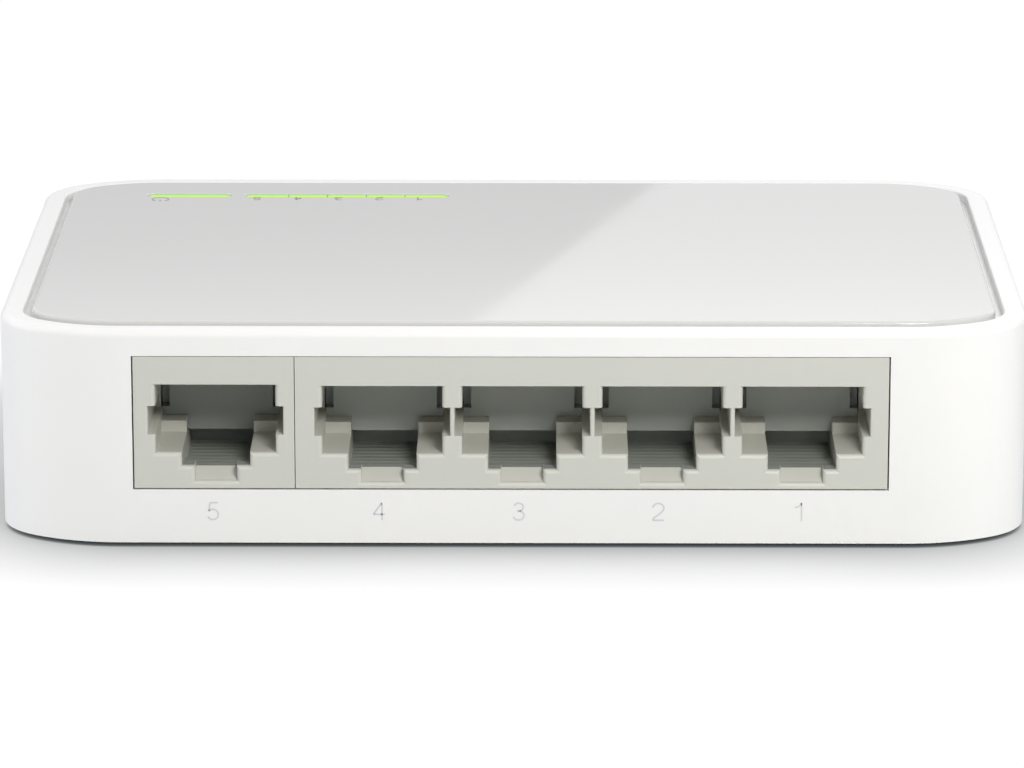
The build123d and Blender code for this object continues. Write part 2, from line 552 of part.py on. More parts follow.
def make_chip_leads():
    leads = []
    half = CHIP_SIDE / 2 + 0.02
    for i in range(CHIP_LEADS):
        shift = (i - (CHIP_LEADS - 1) / 2) * CHIP_PITCH
        seat = BOARD_TOP + 0.9
        leads.append(gull_wing(CHIP_X + shift, CHIP_Y + half, "+Y", 1.0, seat, 0.35))
        leads.append(gull_wing(CHIP_X + shift, CHIP_Y - half, "-Y", 1.0, seat, 0.35))
        leads.append(gull_wing(CHIP_X + half, CHIP_Y + shift, "+X", 1.0, seat, 0.35))
        leads.append(gull_wing(CHIP_X - half, CHIP_Y + shift, "-X", 1.0, seat, 0.35))
    return group(leads)


TRANSFORMERS = {"magnetics_single": (-27.5, -9.5, 12.7, 8), "magnetics_quad": (8.0, -9.5, 28.6, 20)}
TRANSFORMER_D, TRANSFORMER_H = 7.6, 5.6


def make_transformer(x, y, length):
    body = block_at(x, y, BOARD_TOP + 0.3, length, TRANSFORMER_D, TRANSFORMER_H)
    return chamfer(edges_at_height(body, BOARD_TOP + 0.3 + TRANSFORMER_H), 0.4)


def make_transformer_leads():
    leads = []
    for x, y, _length, count in TRANSFORMERS.values():
        for i in range(count):
            lead_x = x + (i - (count - 1) / 2) * 1.27
            for direction, sign in (("+Y", 1), ("-Y", -1)):
                lead_y = y + sign * (TRANSFORMER_D / 2 + 0.02)
                leads.append(gull_wing(lead_x, lead_y, direction, 1.3, BOARD_TOP + 2.2, 0.45, 0.25))
    return group(leads)


def make_crystal():
    can = slot(26.5, 8.0, 11.0, 4.6, BOARD_TOP + 0.4, BOARD_TOP + 3.9)
    flange = slot(26.5, 8.0, 11.6, 5.0, BOARD_TOP, BOARD_TOP + 0.4)
    return can + flange


REGULATOR_X, REGULATOR_Y = -16.0, 14.0


def make_regulator():
    body = block_at(REGULATOR_X, REGULATOR_Y, BOARD_TOP + 0.1, 6.5, 3.5, 1.6)
    return chamfer(edges_at_height(body, BOARD_TOP + 1.7), 0.25)


def make_regulator_leads():
    leads = [gull_wing(REGULATOR_X, REGULATOR_Y + 1.77, "+Y", 1.7, BOARD_TOP + 1.0, 3.0, 0.3)]
    for dx in (-2.3, 0.0, 2.3):
        leads.append(gull_wing(REGULATOR_X + dx, REGULATOR_Y - 1.77, "-Y", 1.7, BOARD_TOP + 1.0, 0.7, 0.3))
    return group(leads)


def make_inductor():
    core = post(-18.0, 3.0, BOARD_TOP, BOARD_TOP + 4.5, 2.9)
    waist = post(-18.0, 3.0, BOARD_TOP + 0.9, BOARD_TOP + 3.6, 4)
    waist -= post(-18.0, 3.0, BOARD_TOP, BOARD_TOP + 4, 2.4)
    return core - waist


def make_diode():
    return chamfer(block_at(-28.0, 3.0, BOARD_TOP + 0.1, 4.3, 2.6, 2.1).edges().filter_by(Axis.Z), 0.2)


CHIP_PARTS = {
    "chip_resistors": (1.6, 0.8, 0.45, [
        (22.0, -1.0), (22.0, 1.5), (24.5, -1.0), (24.5, 1.5), (-6.0, 14.0), (-6.0, 16.5), (-9.5, 20.0),
        (-12.5, 20.0), (-15.5, 20.0), (-18.5, 20.0), (-21.5, 20.0), (-35.5, 20.0), (34.0, -12.0),
        (34.0, -9.5),
    ]),
    "chip_capacitors": (2.0, 1.25, 0.9, [
        (-5.0, 2.0), (-5.0, 5.0), (-5.0, 8.0), (8.0, 17.0), (12.0, 17.0), (20.0, 12.5), (34.0, 4.0),
        (34.0, 8.0), (34.0, 12.0), (-23.0, 8.5), (-12.0, -9.5), (38.0, -4.0), (42.0, 6.0), (-10.5, 9.5),
    ]),
}


def make_chip_parts(name):
    length, width, height, places = CHIP_PARTS[name]
    return group([block_at(x, y, BOARD_TOP, length, width, height) for x, y in places])


# ---------------------------------------------------------------- write every piece
def main():
    pieces = {
        "upper_shell": make_upper_shell(),
        "lower_shell": make_lower_shell(),
        "top_plate": make_top_plate(),
        "rating_label": make_rating_label(),
        "case_screws": make_case_screws(),
        "main_board": make_board(),
        "jack_body_port_5": make_jack_body(single_x0, single_x1, (5,), single_pegs),
        "jack_body_ports_1_to_4": make_jack_body(gang_x0, gang_x1, (4, 3, 2, 1), gang_pegs),
        "power_inlet_body": make_inlet_body(),
        "power_inlet_pin": make_inlet_pin(),
        "power_inlet_spring": make_inlet_spring(),
        "power_inlet_terminals": make_inlet_terminals(),
        "power_light_pipe": make_power_pipe(),
        "light_pipe_holder": make_pipe_holder(),
        "power_light": make_light(POWER_BAR_X),
        "port_lights": group([make_light(light_x(n)) for n in (1, 2, 3, 4, 5)]),
        "switch_chip": make_chip(),
        "switch_chip_leads": make_chip_leads(),
        "magnetics_leads": make_transformer_leads(),
        "capacitor_large": make_capacitor(*CAP_LARGE),
        "capacitor_small": make_capacitor(*CAP_SMALL),
        "crystal": make_crystal(),
        "voltage_regulator": make_regulator(),
        "voltage_regulator_leads": make_regulator_leads(),
        "power_inductor": make_inductor(),
        "input_diode": make_diode(),
    }
    for name, (x, y, length, _count) in TRANSFORMERS.items():
        pieces[name] = make_transformer(x, y, length)
    for name in CHIP_PARTS:
        pieces[name] = make_chip_parts(name)
    for sx, side in ((-1, "left"), (1, "right")):
        for sy, end in ((-1, "port_side"), (1, "light_side")):
            pieces[f"foot_{end}_{side}"] = make_foot(sx, sy)
    for number, x in port_x.items():
        raised = Pos(0, 0, port_lift[number])
        pieces[f"contact_carrier_{number}"] = raised * make_carrier(x)
        pieces[f"contact_leads_{number}"] = raised * make_contact_leads(x)
        pieces[f"contact_fingers_{number}"] = raised * make_contact_fingers(x)
        pieces[f"port_light_pipe_{number}"] = make_port_pipe(number)
    os.makedirs("parts", exist_ok=True)
    for name, piece in pieces.items():
        export_step(piece, f"parts/{name}.step")
    print(len(pieces), "nodes")


main()
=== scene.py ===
"""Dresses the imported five-port desktop switch with its finishes, wires, lit lenses, printing and studio.

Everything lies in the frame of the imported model, in metres: +Z up, the sockets face -Y, and the origin is on
the table under the middle of the case. Sizes are written in millimetres and turned to metres with MM.
"""

import json
import logging
import math
from dataclasses import dataclass
from enum import Enum
from typing import Any, Sequence

import bmesh
import bpy
import numpy as np
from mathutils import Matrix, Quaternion, Vector


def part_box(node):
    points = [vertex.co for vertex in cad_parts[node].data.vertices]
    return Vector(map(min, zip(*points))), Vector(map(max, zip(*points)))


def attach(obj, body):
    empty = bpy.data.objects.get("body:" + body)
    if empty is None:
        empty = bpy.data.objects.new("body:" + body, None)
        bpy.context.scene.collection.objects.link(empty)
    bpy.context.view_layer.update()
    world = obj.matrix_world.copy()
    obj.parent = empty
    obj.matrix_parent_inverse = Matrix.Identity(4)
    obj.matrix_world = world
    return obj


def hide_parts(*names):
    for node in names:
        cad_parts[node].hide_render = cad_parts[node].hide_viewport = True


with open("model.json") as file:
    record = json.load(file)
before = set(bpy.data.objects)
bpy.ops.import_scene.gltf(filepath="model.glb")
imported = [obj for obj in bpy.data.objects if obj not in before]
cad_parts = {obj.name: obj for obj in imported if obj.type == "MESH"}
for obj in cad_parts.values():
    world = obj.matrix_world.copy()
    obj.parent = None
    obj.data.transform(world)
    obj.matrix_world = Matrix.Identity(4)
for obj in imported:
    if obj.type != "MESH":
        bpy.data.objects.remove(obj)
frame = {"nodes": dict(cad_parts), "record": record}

LOG = logging.getLogger("desktop_switch")
MM = 0.001
PORTS = (5, 4, 3, 2, 1)
ALONG_X = np.array([1.0, 0.0, 0.0])
ALONG_Z = np.array([0.0, 0.0, 1.0])
CASE_BODY = "switch"
FLOOR_REACH = 4.0
SENSOR_MM = 36.0


# ------------------------------------------------------------------ colour and nodes
def linear(code: str) -> tuple[float, float, float, float]:
    """Turns an sRGB hex colour into linear light.

    Args:
        code: Six hex digits after a hash, such as "#C8CAC4".

    Returns:
        Linear red, green and blue, and an alpha of 1.
    """
    srgb = [int(code[i:i + 2], 16) / 255 for i in (1, 3, 5)]
    light = [c / 12.92 if c <= 0.04045 else ((c + 0.055) / 1.055) ** 2.4 for c in srgb]
    return (light[0], light[1], light[2], 1.0)


def add_node(tree: bpy.types.NodeTree, kind: str, inputs: dict[str | int, Any] | None = None,
             **settings: Any) -> bpy.types.Node:
    """Adds one node with its settings, and fills or links its inputs.

    Args:
        tree: The node tree that gets the node.
        kind: The node's type name.
        inputs: Input name or number, to a value or to the output socket that feeds it.
        settings: Properties of the node itself.

    Returns:
        The new node.
    """
    node = tree.nodes.new(kind)
    for name, value in settings.items():
        setattr(node, name, value)
    for key, value in (inputs or {}).items():
        if isinstance(value, bpy.types.NodeSocket):
            tree.links.new(value, node.inputs[key])
        else:
            node.inputs[key].default_value = value
    return node


def fresh_tree(name: str) -> tuple[bpy.types.Material, bpy.types.NodeTree, bpy.types.Node]:
    """Makes an empty node material.

    Args:
        name: The material's name.

    Returns:
        The material, its tree, and its output node.
    """
    material = bpy.data.materials.new(name)
    material.use_nodes = True
    material.node_tree.nodes.clear()
    return material, material.node_tree, add_node(material.node_tree, "ShaderNodeOutputMaterial")


# ------------------------------------------------------------------ finishes
@dataclass(frozen=True)
class Moulded:
    """A moulded plastic, rubber or resin with the grain that its mould left.

    Attributes:
        name: Material name.
        colour: sRGB hex colour of the pigment.
        shade: sRGB hex colour of the faint flow marks in it.
        roughness: Mean roughness, and spread is how far it wanders over the part.
        grain_mm: Pitch of the mould's texture, and relief_mm is its height.
        ior: Index of refraction, typical of the polymer.
        waviness_mm: Pitch of the slow waves that moulded skins have, and wave_mm is their height.
    """

    name: str
    colour: str
    shade: str
    roughness: float
    spread: float
    grain_mm: float
    relief_mm: float
    ior: float = 1.5
    waviness_mm: float = 9.0
    wave_mm: float = 0.0

    def material(self) -> bpy.types.Material:
        """Builds the node material.

        Returns:
            The finished material.
        """
        material, tree, output = fresh_tree(self.name)
        place = add_node(tree, "ShaderNodeTexCoord").outputs["Object"]
        flow = add_node(tree, "ShaderNodeTexNoise", {"Vector": place, "Scale": 1 / (14 * MM), "Detail": 3.0})
        tint = add_node(tree, "ShaderNodeMix", {
            0: flow.outputs["Fac"], 6: linear(self.colour), 7: linear(self.shade),
        }, data_type="RGBA")
        roughness = self.roughness
        if self.spread:
            roughness = add_node(tree, "ShaderNodeMapRange", {
                "Value": flow.outputs["Fac"], "From Min": 0.3, "From Max": 0.7,
                "To Min": self.roughness - self.spread, "To Max": self.roughness + self.spread,
            }).outputs["Result"]
        grain = add_node(tree, "ShaderNodeTexNoise", {
            "Vector": place, "Scale": 1 / (self.grain_mm * MM), "Detail": 2.0, "Roughness": 0.6,
        })
        relief = add_node(tree, "ShaderNodeBump", {
            "Height": grain.outputs["Fac"], "Distance": self.relief_mm * MM, "Strength": 1.0,
        })
        if self.wave_mm:
            wave = add_node(tree, "ShaderNodeTexNoise", {
                "Vector": place, "Scale": 1 / (self.waviness_mm * MM), "Detail": 1.0,
            })
            relief = add_node(tree, "ShaderNodeBump", {
                "Height": wave.outputs["Fac"], "Distance": self.wave_mm * MM, "Strength": 1.0,
                "Normal": relief.outputs["Normal"],
            })
        shader = add_node(tree, "ShaderNodeBsdfPrincipled", {
            "Base Color": tint.outputs[2], "Roughness": roughness, "IOR": self.ior,
            "Normal": relief.outputs["Normal"],
        })
        tree.links.new(shader.outputs["BSDF"], output.inputs["Surface"])
        return material


@dataclass(frozen=True)
class Plated:
    """A plated, drawn or rolled metal.

    Attributes:
        name: Material name.
        colour: sRGB hex colour of the metal at normal incidence.
        tarnish: sRGB hex colour of its duller patches.
        roughness: Mean roughness, with patches up to spread either side of it.
        scratch_mm: Pitch of the fine rolling or drawing marks.
    """

    name: str
    colour: str
    tarnish: str
    roughness: float
    spread: float
    scratch_mm: float

    def material(self) -> bpy.types.Material:
        """Builds the node material.

        Returns:
            The finished material.
        """
        material, tree, output = fresh_tree(self.name)
        place = add_node(tree, "ShaderNodeTexCoord").outputs["Object"]
        patches = add_node(tree, "ShaderNodeTexNoise", {
            "Vector": place, "Scale": 1 / (2.2 * MM), "Detail": 4.0,
        })
        tint = add_node(tree, "ShaderNodeMix", {
            0: patches.outputs["Fac"], 6: linear(self.colour), 7: linear(self.tarnish),
        }, data_type="RGBA")
        sheen = add_node(tree, "ShaderNodeMapRange", {
            "Value": patches.outputs["Fac"], "From Min": 0.3, "From Max": 0.7,
            "To Min": self.roughness - self.spread, "To Max": self.roughness + self.spread,
        })
        marks = add_node(tree, "ShaderNodeTexNoise", {
            "Vector": place, "Scale": 1 / (self.scratch_mm * MM), "Detail": 2.0,
        })
        relief = add_node(tree, "ShaderNodeBump", {
            "Height": marks.outputs["Fac"], "Distance": 0.004 * MM, "Strength": 1.0,
        })
        shader = add_node(tree, "ShaderNodeBsdfPrincipled", {
            "Base Color": tint.outputs[2], "Roughness": sheen.outputs["Result"], "Metallic": 1.0,
            "Normal": relief.outputs["Normal"],
        })
        tree.links.new(shader.outputs["BSDF"], output.inputs["Surface"])
        return material


@dataclass(frozen=True)
class LitLens:
    """Clear acrylic lens lit from below: yellow-green at its front edge, deep green at its rear one.

    Attributes:
        name: Material name.
        body: sRGB hex colour of the acrylic by room light.
        near: sRGB hex colour of the front edge's glow; middle is the crown's, and far is the rear edge's.
        front_y: Place of the front edge in metres, and rear_y is the rear one.
        glow: Strength of the light.
    """

    name: str
    body: str
    near: str
    middle: str
    far: str
    front_y: float
    rear_y: float
    glow: float

    def material(self) -> bpy.types.Material:
        """Builds the node material.

        Returns:
            The finished material.
        """
        material, tree, output = fresh_tree(self.name)
        place = add_node(tree, "ShaderNodeTexCoord").outputs["Object"]
        axes = add_node(tree, "ShaderNodeSeparateXYZ", {"Vector": place})
        across = add_node(tree, "ShaderNodeMapRange", {
            "Value": axes.outputs["Y"], "From Min": self.front_y, "From Max": self.rear_y,
        })
        streaks = add_node(tree, "ShaderNodeTexNoise", {
            "Vector": place, "Scale": 1 / (0.6 * MM), "Detail": 1.0,
        })
        mixed = add_node(tree, "ShaderNodeMath", {
            0: streaks.outputs["Fac"], 1: 0.08, 2: across.outputs["Result"],
        }, operation="MULTIPLY_ADD", use_clamp=True)
        ramp = add_node(tree, "ShaderNodeValToRGB", {"Fac": mixed.outputs["Value"]})
        stops = ramp.color_ramp.elements
        stops[0].position, stops[0].color = 0.25, linear(self.near)
        stops[1].position, stops[1].color = 0.95, linear(self.far)
        stops.new(0.6).color = linear(self.middle)
        shader = add_node(tree, "ShaderNodeBsdfPrincipled", {
            "Base Color": linear(self.body), "Roughness": 0.35, "IOR": 1.49, "Specular IOR Level": 0.12,
            "Emission Color": ramp.outputs["Color"], "Emission Strength": self.glow,
        })
        tree.links.new(shader.outputs["BSDF"], output.inputs["Surface"])
        return material


@dataclass(frozen=True)
class BoardResist:
    """Green solder resist over copper tracks on glass epoxy.

    Attributes:
        name: Material name.
        bare: sRGB hex colour over bare laminate.
        track: sRGB hex colour over copper.
        pitch_mm: Distance from one track to the next.
    """

    name: str
    bare: str
    track: str
    pitch_mm: float

    def material(self) -> bpy.types.Material:
        """Builds the node material: bands of tracks whose direction changes from one region to the next.

        Returns:
            The finished material.
        """
        material, tree, output = fresh_tree(self.name)
        place = add_node(tree, "ShaderNodeTexCoord").outputs["Object"]
        regions = add_node(tree, "ShaderNodeTexVoronoi", {
            "Vector": place, "Scale": 1 / (9 * MM), "Randomness": 0.8,
        }, distance="CHEBYCHEV")
        pick = add_node(tree, "ShaderNodeSeparateXYZ", {"Vector": regions.outputs["Color"]})
        bands = [
            add_node(tree, "ShaderNodeTexWave", {
                "Vector": place, "Scale": 0.314 / (self.pitch_mm * MM), "Distortion": 0.0,
            }, bands_direction=direction)
            for direction in ("X", "Y")
        ]
        either = add_node(tree, "ShaderNodeMath", {0: pick.outputs["X"], 1: 0.5}, operation="GREATER_THAN")
        woven = add_node(tree, "ShaderNodeMix", {
            0: either.outputs["Value"], 2: bands[0].outputs["Fac"], 3: bands[1].outputs["Fac"],
        })
        tracks = add_node(tree, "ShaderNodeMath", {0: woven.outputs[0], 1: 0.55}, operation="GREATER_THAN")
        tint = add_node(tree, "ShaderNodeMix", {
            0: tracks.outputs["Value"], 6: linear(self.bare), 7: linear(self.track),
        }, data_type="RGBA")
        relief = add_node(tree, "ShaderNodeBump", {
            "Height": tracks.outputs["Value"], "Distance": 0.03 * MM, "Strength": 1.0,
        })
        shader = add_node(tree, "ShaderNodeBsdfPrincipled", {
            "Base Color": tint.outputs[2], "Roughness": 0.32, "IOR": 1.55, "Normal": relief.outputs["Normal"],
        })
        tree.links.new(shader.outputs["BSDF"], output.inputs["Surface"])
        return material


class Finishes:
    """Every finish on the switch, each made once and named for the real material and its making, or for the
    painted shade that it carries.
    """

    def __init__(self) -> None:
        """Makes the materials."""
        self.specs = {
            # ABS moulded in a polished tool: a clean white skin with soft, wide highlights.
            "shell": Moulded("white_abs_polished_mould", "#F1F1F0", "#EDEEEE", 0.30, 0.0, 0.35, 0.0016,
                             ior=1.53, wave_mm=0.004),
            # ABS plate from a mirror-polished tool: glossy enough to show the edge of a light panel.
            "plate": Moulded("grey_abs_gloss_mould", "#D2D3D2", "#D0D1D0", 0.045, 0.01, 0.5, 0.0003,
                             ior=1.50, waviness_mm=16.0, wave_mm=0.0012),
            # The base comes from a spark-eroded tool: an even, fine matt grain that hides scuffs.
            "base": Moulded("white_abs_spark_grain", "#E4E5E4", "#DFE0E0", 0.55, 0.05, 0.28, 0.02, ior=1.53),
            # Glass-filled polyester: pale warm grey, satin, slightly cloudy where it flowed.
            "jack": Moulded("grey_pbt_moulded", "#CCCDC6", "#C8CAC2", 0.42, 0.06, 0.22, 0.006, ior=1.57),
            "carrier": Moulded("grey_pbt_insert", "#C0C6C2", "#B9BFBB", 0.5, 0.06, 0.2, 0.008, ior=1.57),
            # Darker greys as painted shade: port 5's insert is darker to stand in for the dimmer light in its
            # socket, and the ribbed strips paint the shade on the latch floors.
            "carrier_single": Moulded("grey_pbt_insert_port5_painted_shade", "#A2A9A5", "#9BA29E", 0.5, 0.06, 0.2, 0.008,
                                      ior=1.57),
            "latch": Moulded("ribbed_pbt_painted_shade", "#8F948F", "#878C87", 0.5, 0.05, 0.2, 0.008, ior=1.57),
            # Nylon for the inlet and the light holder: black, dry-looking, with a faint grain.
            "inlet": Moulded("black_nylon_moulded", "#141415", "#1C1C1E", 0.45, 0.08, 0.18, 0.010, ior=1.53),
            "holder": Moulded("black_nylon_opaque", "#1A1A1B", "#202022", 0.6, 0.05, 0.2, 0.010, ior=1.53),
            # Clear acrylic pipes under the lenses carry the green light up.
            "pipe": Moulded("green_lit_acrylic", "#9FDC55", "#8FD24A", 0.08, 0.02, 0.6, 0.0005, ior=1.49),
            "led": Moulded("clear_epoxy_led", "#E6EBC0", "#DDE3B4", 0.15, 0.04, 0.4, 0.002, ior=1.54),
            "epoxy": Moulded("black_epoxy_compound", "#17181A", "#202124", 0.62, 0.08, 0.12, 0.010, ior=1.56),
            "sleeve": Moulded("pvc_shrink_sleeve", "#10182B", "#141D33", 0.28, 0.05, 0.8, 0.004, ior=1.54),
            "ferrite": Moulded("sintered_ferrite", "#26272A", "#303236", 0.7, 0.08, 0.15, 0.015, ior=1.9),
            "ceramic": Moulded("fired_chip_ceramic", "#A88F6A", "#96805F", 0.5, 0.1, 0.15, 0.006, ior=1.7),
            # Elastomer feet: soft matt grey with a dusty, slightly pitted skin.
            "foot": Moulded("grey_elastomer_moulded", "#B9B9B8", "#ACACAB", 0.8, 0.06, 0.2, 0.02, ior=1.45),
            "label": Moulded("polyester_label_film", "#DCDDDD", "#D6D8D8", 0.38, 0.03, 1.5, 0.002, ior=1.57),
            # Pad-printed ink: a thin flat film, duller than the plastic under it.
            "ink_front": Moulded("pad_ink_pale_grey", "#D2D4D8", "#CFD1D5", 0.5, 0.03, 0.3, 0.001),
            "ink_plate": Moulded("pad_ink_mid_grey", "#7E8184", "#7A7D80", 0.5, 0.03, 0.3, 0.001),
            # Gold over nickel on phosphor bronze wire: warm, bright, faintly drawn along its length.
            "gold": Plated("gold_plated_bronze_wire", "#E2BE74", "#CFA65A", 0.20, 0.05, 0.25),
            "nickel": Plated("nickel_plated_brass", "#CFCCC4", "#B9B5AC", 0.18, 0.05, 0.4),
            "tin": Plated("bright_tin_plate", "#D3D3D0", "#BDBDB9", 0.30, 0.08, 0.3),
            "can": Plated("drawn_nickel_silver_can", "#C9C6BE", "#B7B3AA", 0.26, 0.06, 0.5),
            "aluminium": Plated("pressed_aluminium_can", "#D6D7D8", "#C2C3C5", 0.32, 0.06, 0.4),
            "zinc": Plated("zinc_plated_steel", "#AEB2B8", "#999EA6", 0.34, 0.08, 0.35),
            "copper": Plated("enamelled_copper_wire", "#B5703A", "#9C5A2C", 0.28, 0.05, 0.2),
            "board": BoardResist("green_solder_resist", "#0E4A2A", "#1A6A3A", 0.9),
        }
        self.made = {key: spec.material() for key, spec in self.specs.items()}

    def __getitem__(self, key: str) -> bpy.types.Material:
        """Gives the material filed under key."""
        return self.made[key]


# ------------------------------------------------------------------ surfaces
class Skin:
    """Gathers tubes of points into one mesh.

    A tube is an array of rows and columns of points, each row a closed ring. Faces join each point to its
    neighbours in the next row and column, worked out for the whole tube at once from the points' numbers.
    """

    def __init__(self) -> None:
        """Starts with no points."""
        self.points: list[np.ndarray] = []
        self.quads: list[np.ndarray] = []
        self.caps: list[list[int]] = []
        self.count = 0

    def add(self, grid: np.ndarray) -> None:
        """Adds one tube, and closes its first and last rows with one face each.

        Args:
            grid: Points as an array of shape (rows, columns, 3), in metres.
        """
        rows, columns = grid.shape[:2]
        number = np.arange(rows * columns).reshape(rows, columns) + self.count
        right = np.roll(number, -1, axis=1)
        down = np.roll(number, -1, axis=0)
        corner = np.roll(right, -1, axis=0)
        faces = np.stack([number, right, corner, down], axis=-1)[:rows - 1]
        self.points.append(grid.reshape(-1, 3))
        self.quads.append(faces.reshape(-1, 4))
        self.caps += [number[0, ::-1].tolist(), number[-1].tolist()]
        self.count += rows * columns

    def piece(self, name: str, material: bpy.types.Material, slot: str, body: str = CASE_BODY,
              crease_deg: float = 40.0) -> bpy.types.Object:
        """Makes the object, gives it its finish, and ties it to its body.

        Args:
            name: The piece's name.
            material: Its finish.
            slot: The record's material slot; not used.
            body: The body that it moves with.
            crease_deg: Edges that turn more than this stay sharp.

        Returns:
            The new object, at the origin.
        """
        mesh = bpy.data.meshes.new(name)
        faces = np.concatenate(self.quads).tolist() + self.caps
        mesh.from_pydata(np.concatenate(self.points).tolist(), [], faces)
        mesh.materials.append(material)
        turn_outwards(mesh)
        mesh.polygons.foreach_set("use_smooth", np.ones(len(mesh.polygons), bool))
        mesh.set_sharp_from_angle(angle=math.radians(crease_deg))
        thing = bpy.data.objects.new(name, mesh)
        bpy.context.scene.collection.objects.link(thing)
        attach(thing, body)
        LOG.info("%s: %d faces, rides on %s", name, len(mesh.polygons), body)
        return thing


def middle_of(node: str) -> Vector:
    """Middle of a CAD node's box, in metres."""
    low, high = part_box(node)
    return (low + high) / 2


def turn_outwards(mesh: bpy.types.Mesh) -> None:
    """Merges doubled points and turns every face outwards.

    Args:
        mesh: The mesh to put right, in place.
    """
    shape = bmesh.new()
    shape.from_mesh(mesh)
    bmesh.ops.remove_doubles(shape, verts=shape.verts, dist=1e-7)
    bmesh.ops.recalc_face_normals(shape, faces=shape.faces)
    shape.to_mesh(mesh)
    shape.free()


def carry(path: np.ndarray, side: np.ndarray, profile: np.ndarray) -> np.ndarray:
    """Carries a flat profile along a path that lies in one plane.

    Each row is the profile drawn with its first axis along side, which is the plane's normal, and its second
    axis along the cross product of the path's tangent and side, centred on the path's point.

    Args:
        path: Points of the path, shape (n, 3).
        side: Unit normal of the path's plane, shape (3,).
        profile: Points of the profile, shape (m, 2).

    Returns:
        The swept grid, shape (n, m, 3).
    """
    tangent = np.gradient(path, axis=0)
    tangent /= np.linalg.norm(tangent, axis=1, keepdims=True)
    up = np.cross(tangent, side)
    return path[:, None] + profile[None, :, :1] * side + profile[None, :, 1:] * up[:, None]


def rounded_bar(width: float, height: float, points: int = 16, power: float = 4.0) -> np.ndarray:
    """Outline of a bar with soft corners, the superellipse |x/a|^p + |y/b|^p = 1.

    Args:
        width: Full width, 2a.
        height: Full height, 2b.
        points: Number of points.
        power: The exponent p; 2 is an ellipse, and a high power is nearly a rectangle.

    Returns:
        Points of shape (points, 2).
    """
    turn = np.linspace(0, 2 * np.pi, points, endpoint=False) + np.pi / points
    c, s = np.cos(turn), np.sin(turn)
    x = np.sign(c) * np.abs(c) ** (2 / power) * width / 2
    y = np.sign(s) * np.abs(s) ** (2 / power) * height / 2
    return np.stack([x, y], axis=1)


def arc(centre: Sequence[float], radii: Sequence[float], start: float, end: float,
        points: int = 24) -> np.ndarray:
    """Points of an elliptic arc, centre + (rx cos t, ry sin t).

    Args:
        centre: Its centre.
        radii: Half axes rx and ry.
        start: First angle in degrees, and end is the last.
        end: Last angle in degrees.
        points: Number of points.

    Returns:
        Points of shape (points, 2).
    """
    turn = np.radians(np.linspace(start, end, points))
    return np.stack([centre[0] + radii[0] * np.cos(turn), centre[1] + radii[1] * np.sin(turn)], axis=1)


def line(*ends: Sequence[float]) -> np.ndarray:
    """Points of a straight or bent line, as an array of shape (n, 2)."""
    return np.array(ends, float)


# ------------------------------------------------------------------ printing
class Mark(Enum):
    """The marks that are printed on the case."""

    ONE = 1
    TWO = 2
    THREE = 3
    FOUR = 4
    FIVE = 5
    POWER = 6
    DIRECT_CURRENT = 7
    CENTRE_POSITIVE = 8


def strokes_of(mark: Mark) -> list[np.ndarray]:
    """Centre lines of one mark, in a cell that is 1 high with its lower left corner at the origin.

    Numbers are built from elliptic arcs and straight lines on light sans-serif proportions, two thirds as wide
    as they are high.

    Args:
        mark: The mark to draw.

    Returns:
        One array of points for each pen stroke.
    """
    if mark is Mark.ONE:
        return [line((0.42, 0.0), (0.42, 1.0)), arc((0.06, 1.04), (0.36, 0.29), -90, -8)]
    if mark is Mark.TWO:
        bowl = arc((0.335, 0.70), (0.285, 0.255), 178, -28)
        tail = arc((0.62, -0.02), (0.56, 0.47), 120, 172, 10) * (1.0, 0.92) + (0.0, 0.03)
        return [np.concatenate([bowl, line((0.42, 0.40), (0.20, 0.24)), tail[-3:], line((0.05, 0.045))]),
                line((0.05, 0.045), (0.63, 0.045))]
    if mark is Mark.THREE:
        upper = arc((0.32, 0.745), (0.235, 0.21), 165, -90)
        lower = arc((0.32, 0.29), (0.28, 0.245), 90, -165)
        return [np.concatenate([upper, lower[1:]]), line((0.25, 0.535), (0.32, 0.535))]
    if mark is Mark.FOUR:
        return [line((0.49, 0.0), (0.49, 0.955)), line((0.49, 0.955), (0.05, 0.32)),
                line((0.05, 0.32), (0.65, 0.32))]
    if mark is Mark.FIVE:
        bowl = arc((0.32, 0.32), (0.285, 0.275), 138, -158)
        return [line((0.58, 0.955), (0.18, 0.955)), line((0.18, 0.955), (0.108, 0.50)), bowl]
    if mark is Mark.POWER:
        return [arc((0.5, 0.5), (0.46, 0.46), 125, 415, 40), line((0.5, 0.62), (0.5, 1.02))]
    if mark is Mark.DIRECT_CURRENT:
        return [line((0.0, 0.65), (1.4, 0.65))] + [line((x, 0.3), (x + 0.3, 0.3)) for x in (0.0, 0.55, 1.1)]
    rings = [arc((x, 0.5), (r, r), 0, 360, 40) for x, r in ((0.4, 0.38), (3.6, 0.38))]
    centre = [arc((2.0, 0.5), (0.14, 0.14), 0, 360, 24), arc((2.0, 0.5), (0.5, 0.5), 50, 310, 40)]
    links = [line((0.78, 0.5), (1.5, 0.5)), line((2.14, 0.5), (3.22, 0.5))]
    signs = [line((0.22, 0.5), (0.58, 0.5)), line((3.42, 0.5), (3.78, 0.5)), line((3.6, 0.32), (3.6, 0.68))]
    return rings + centre + links + signs


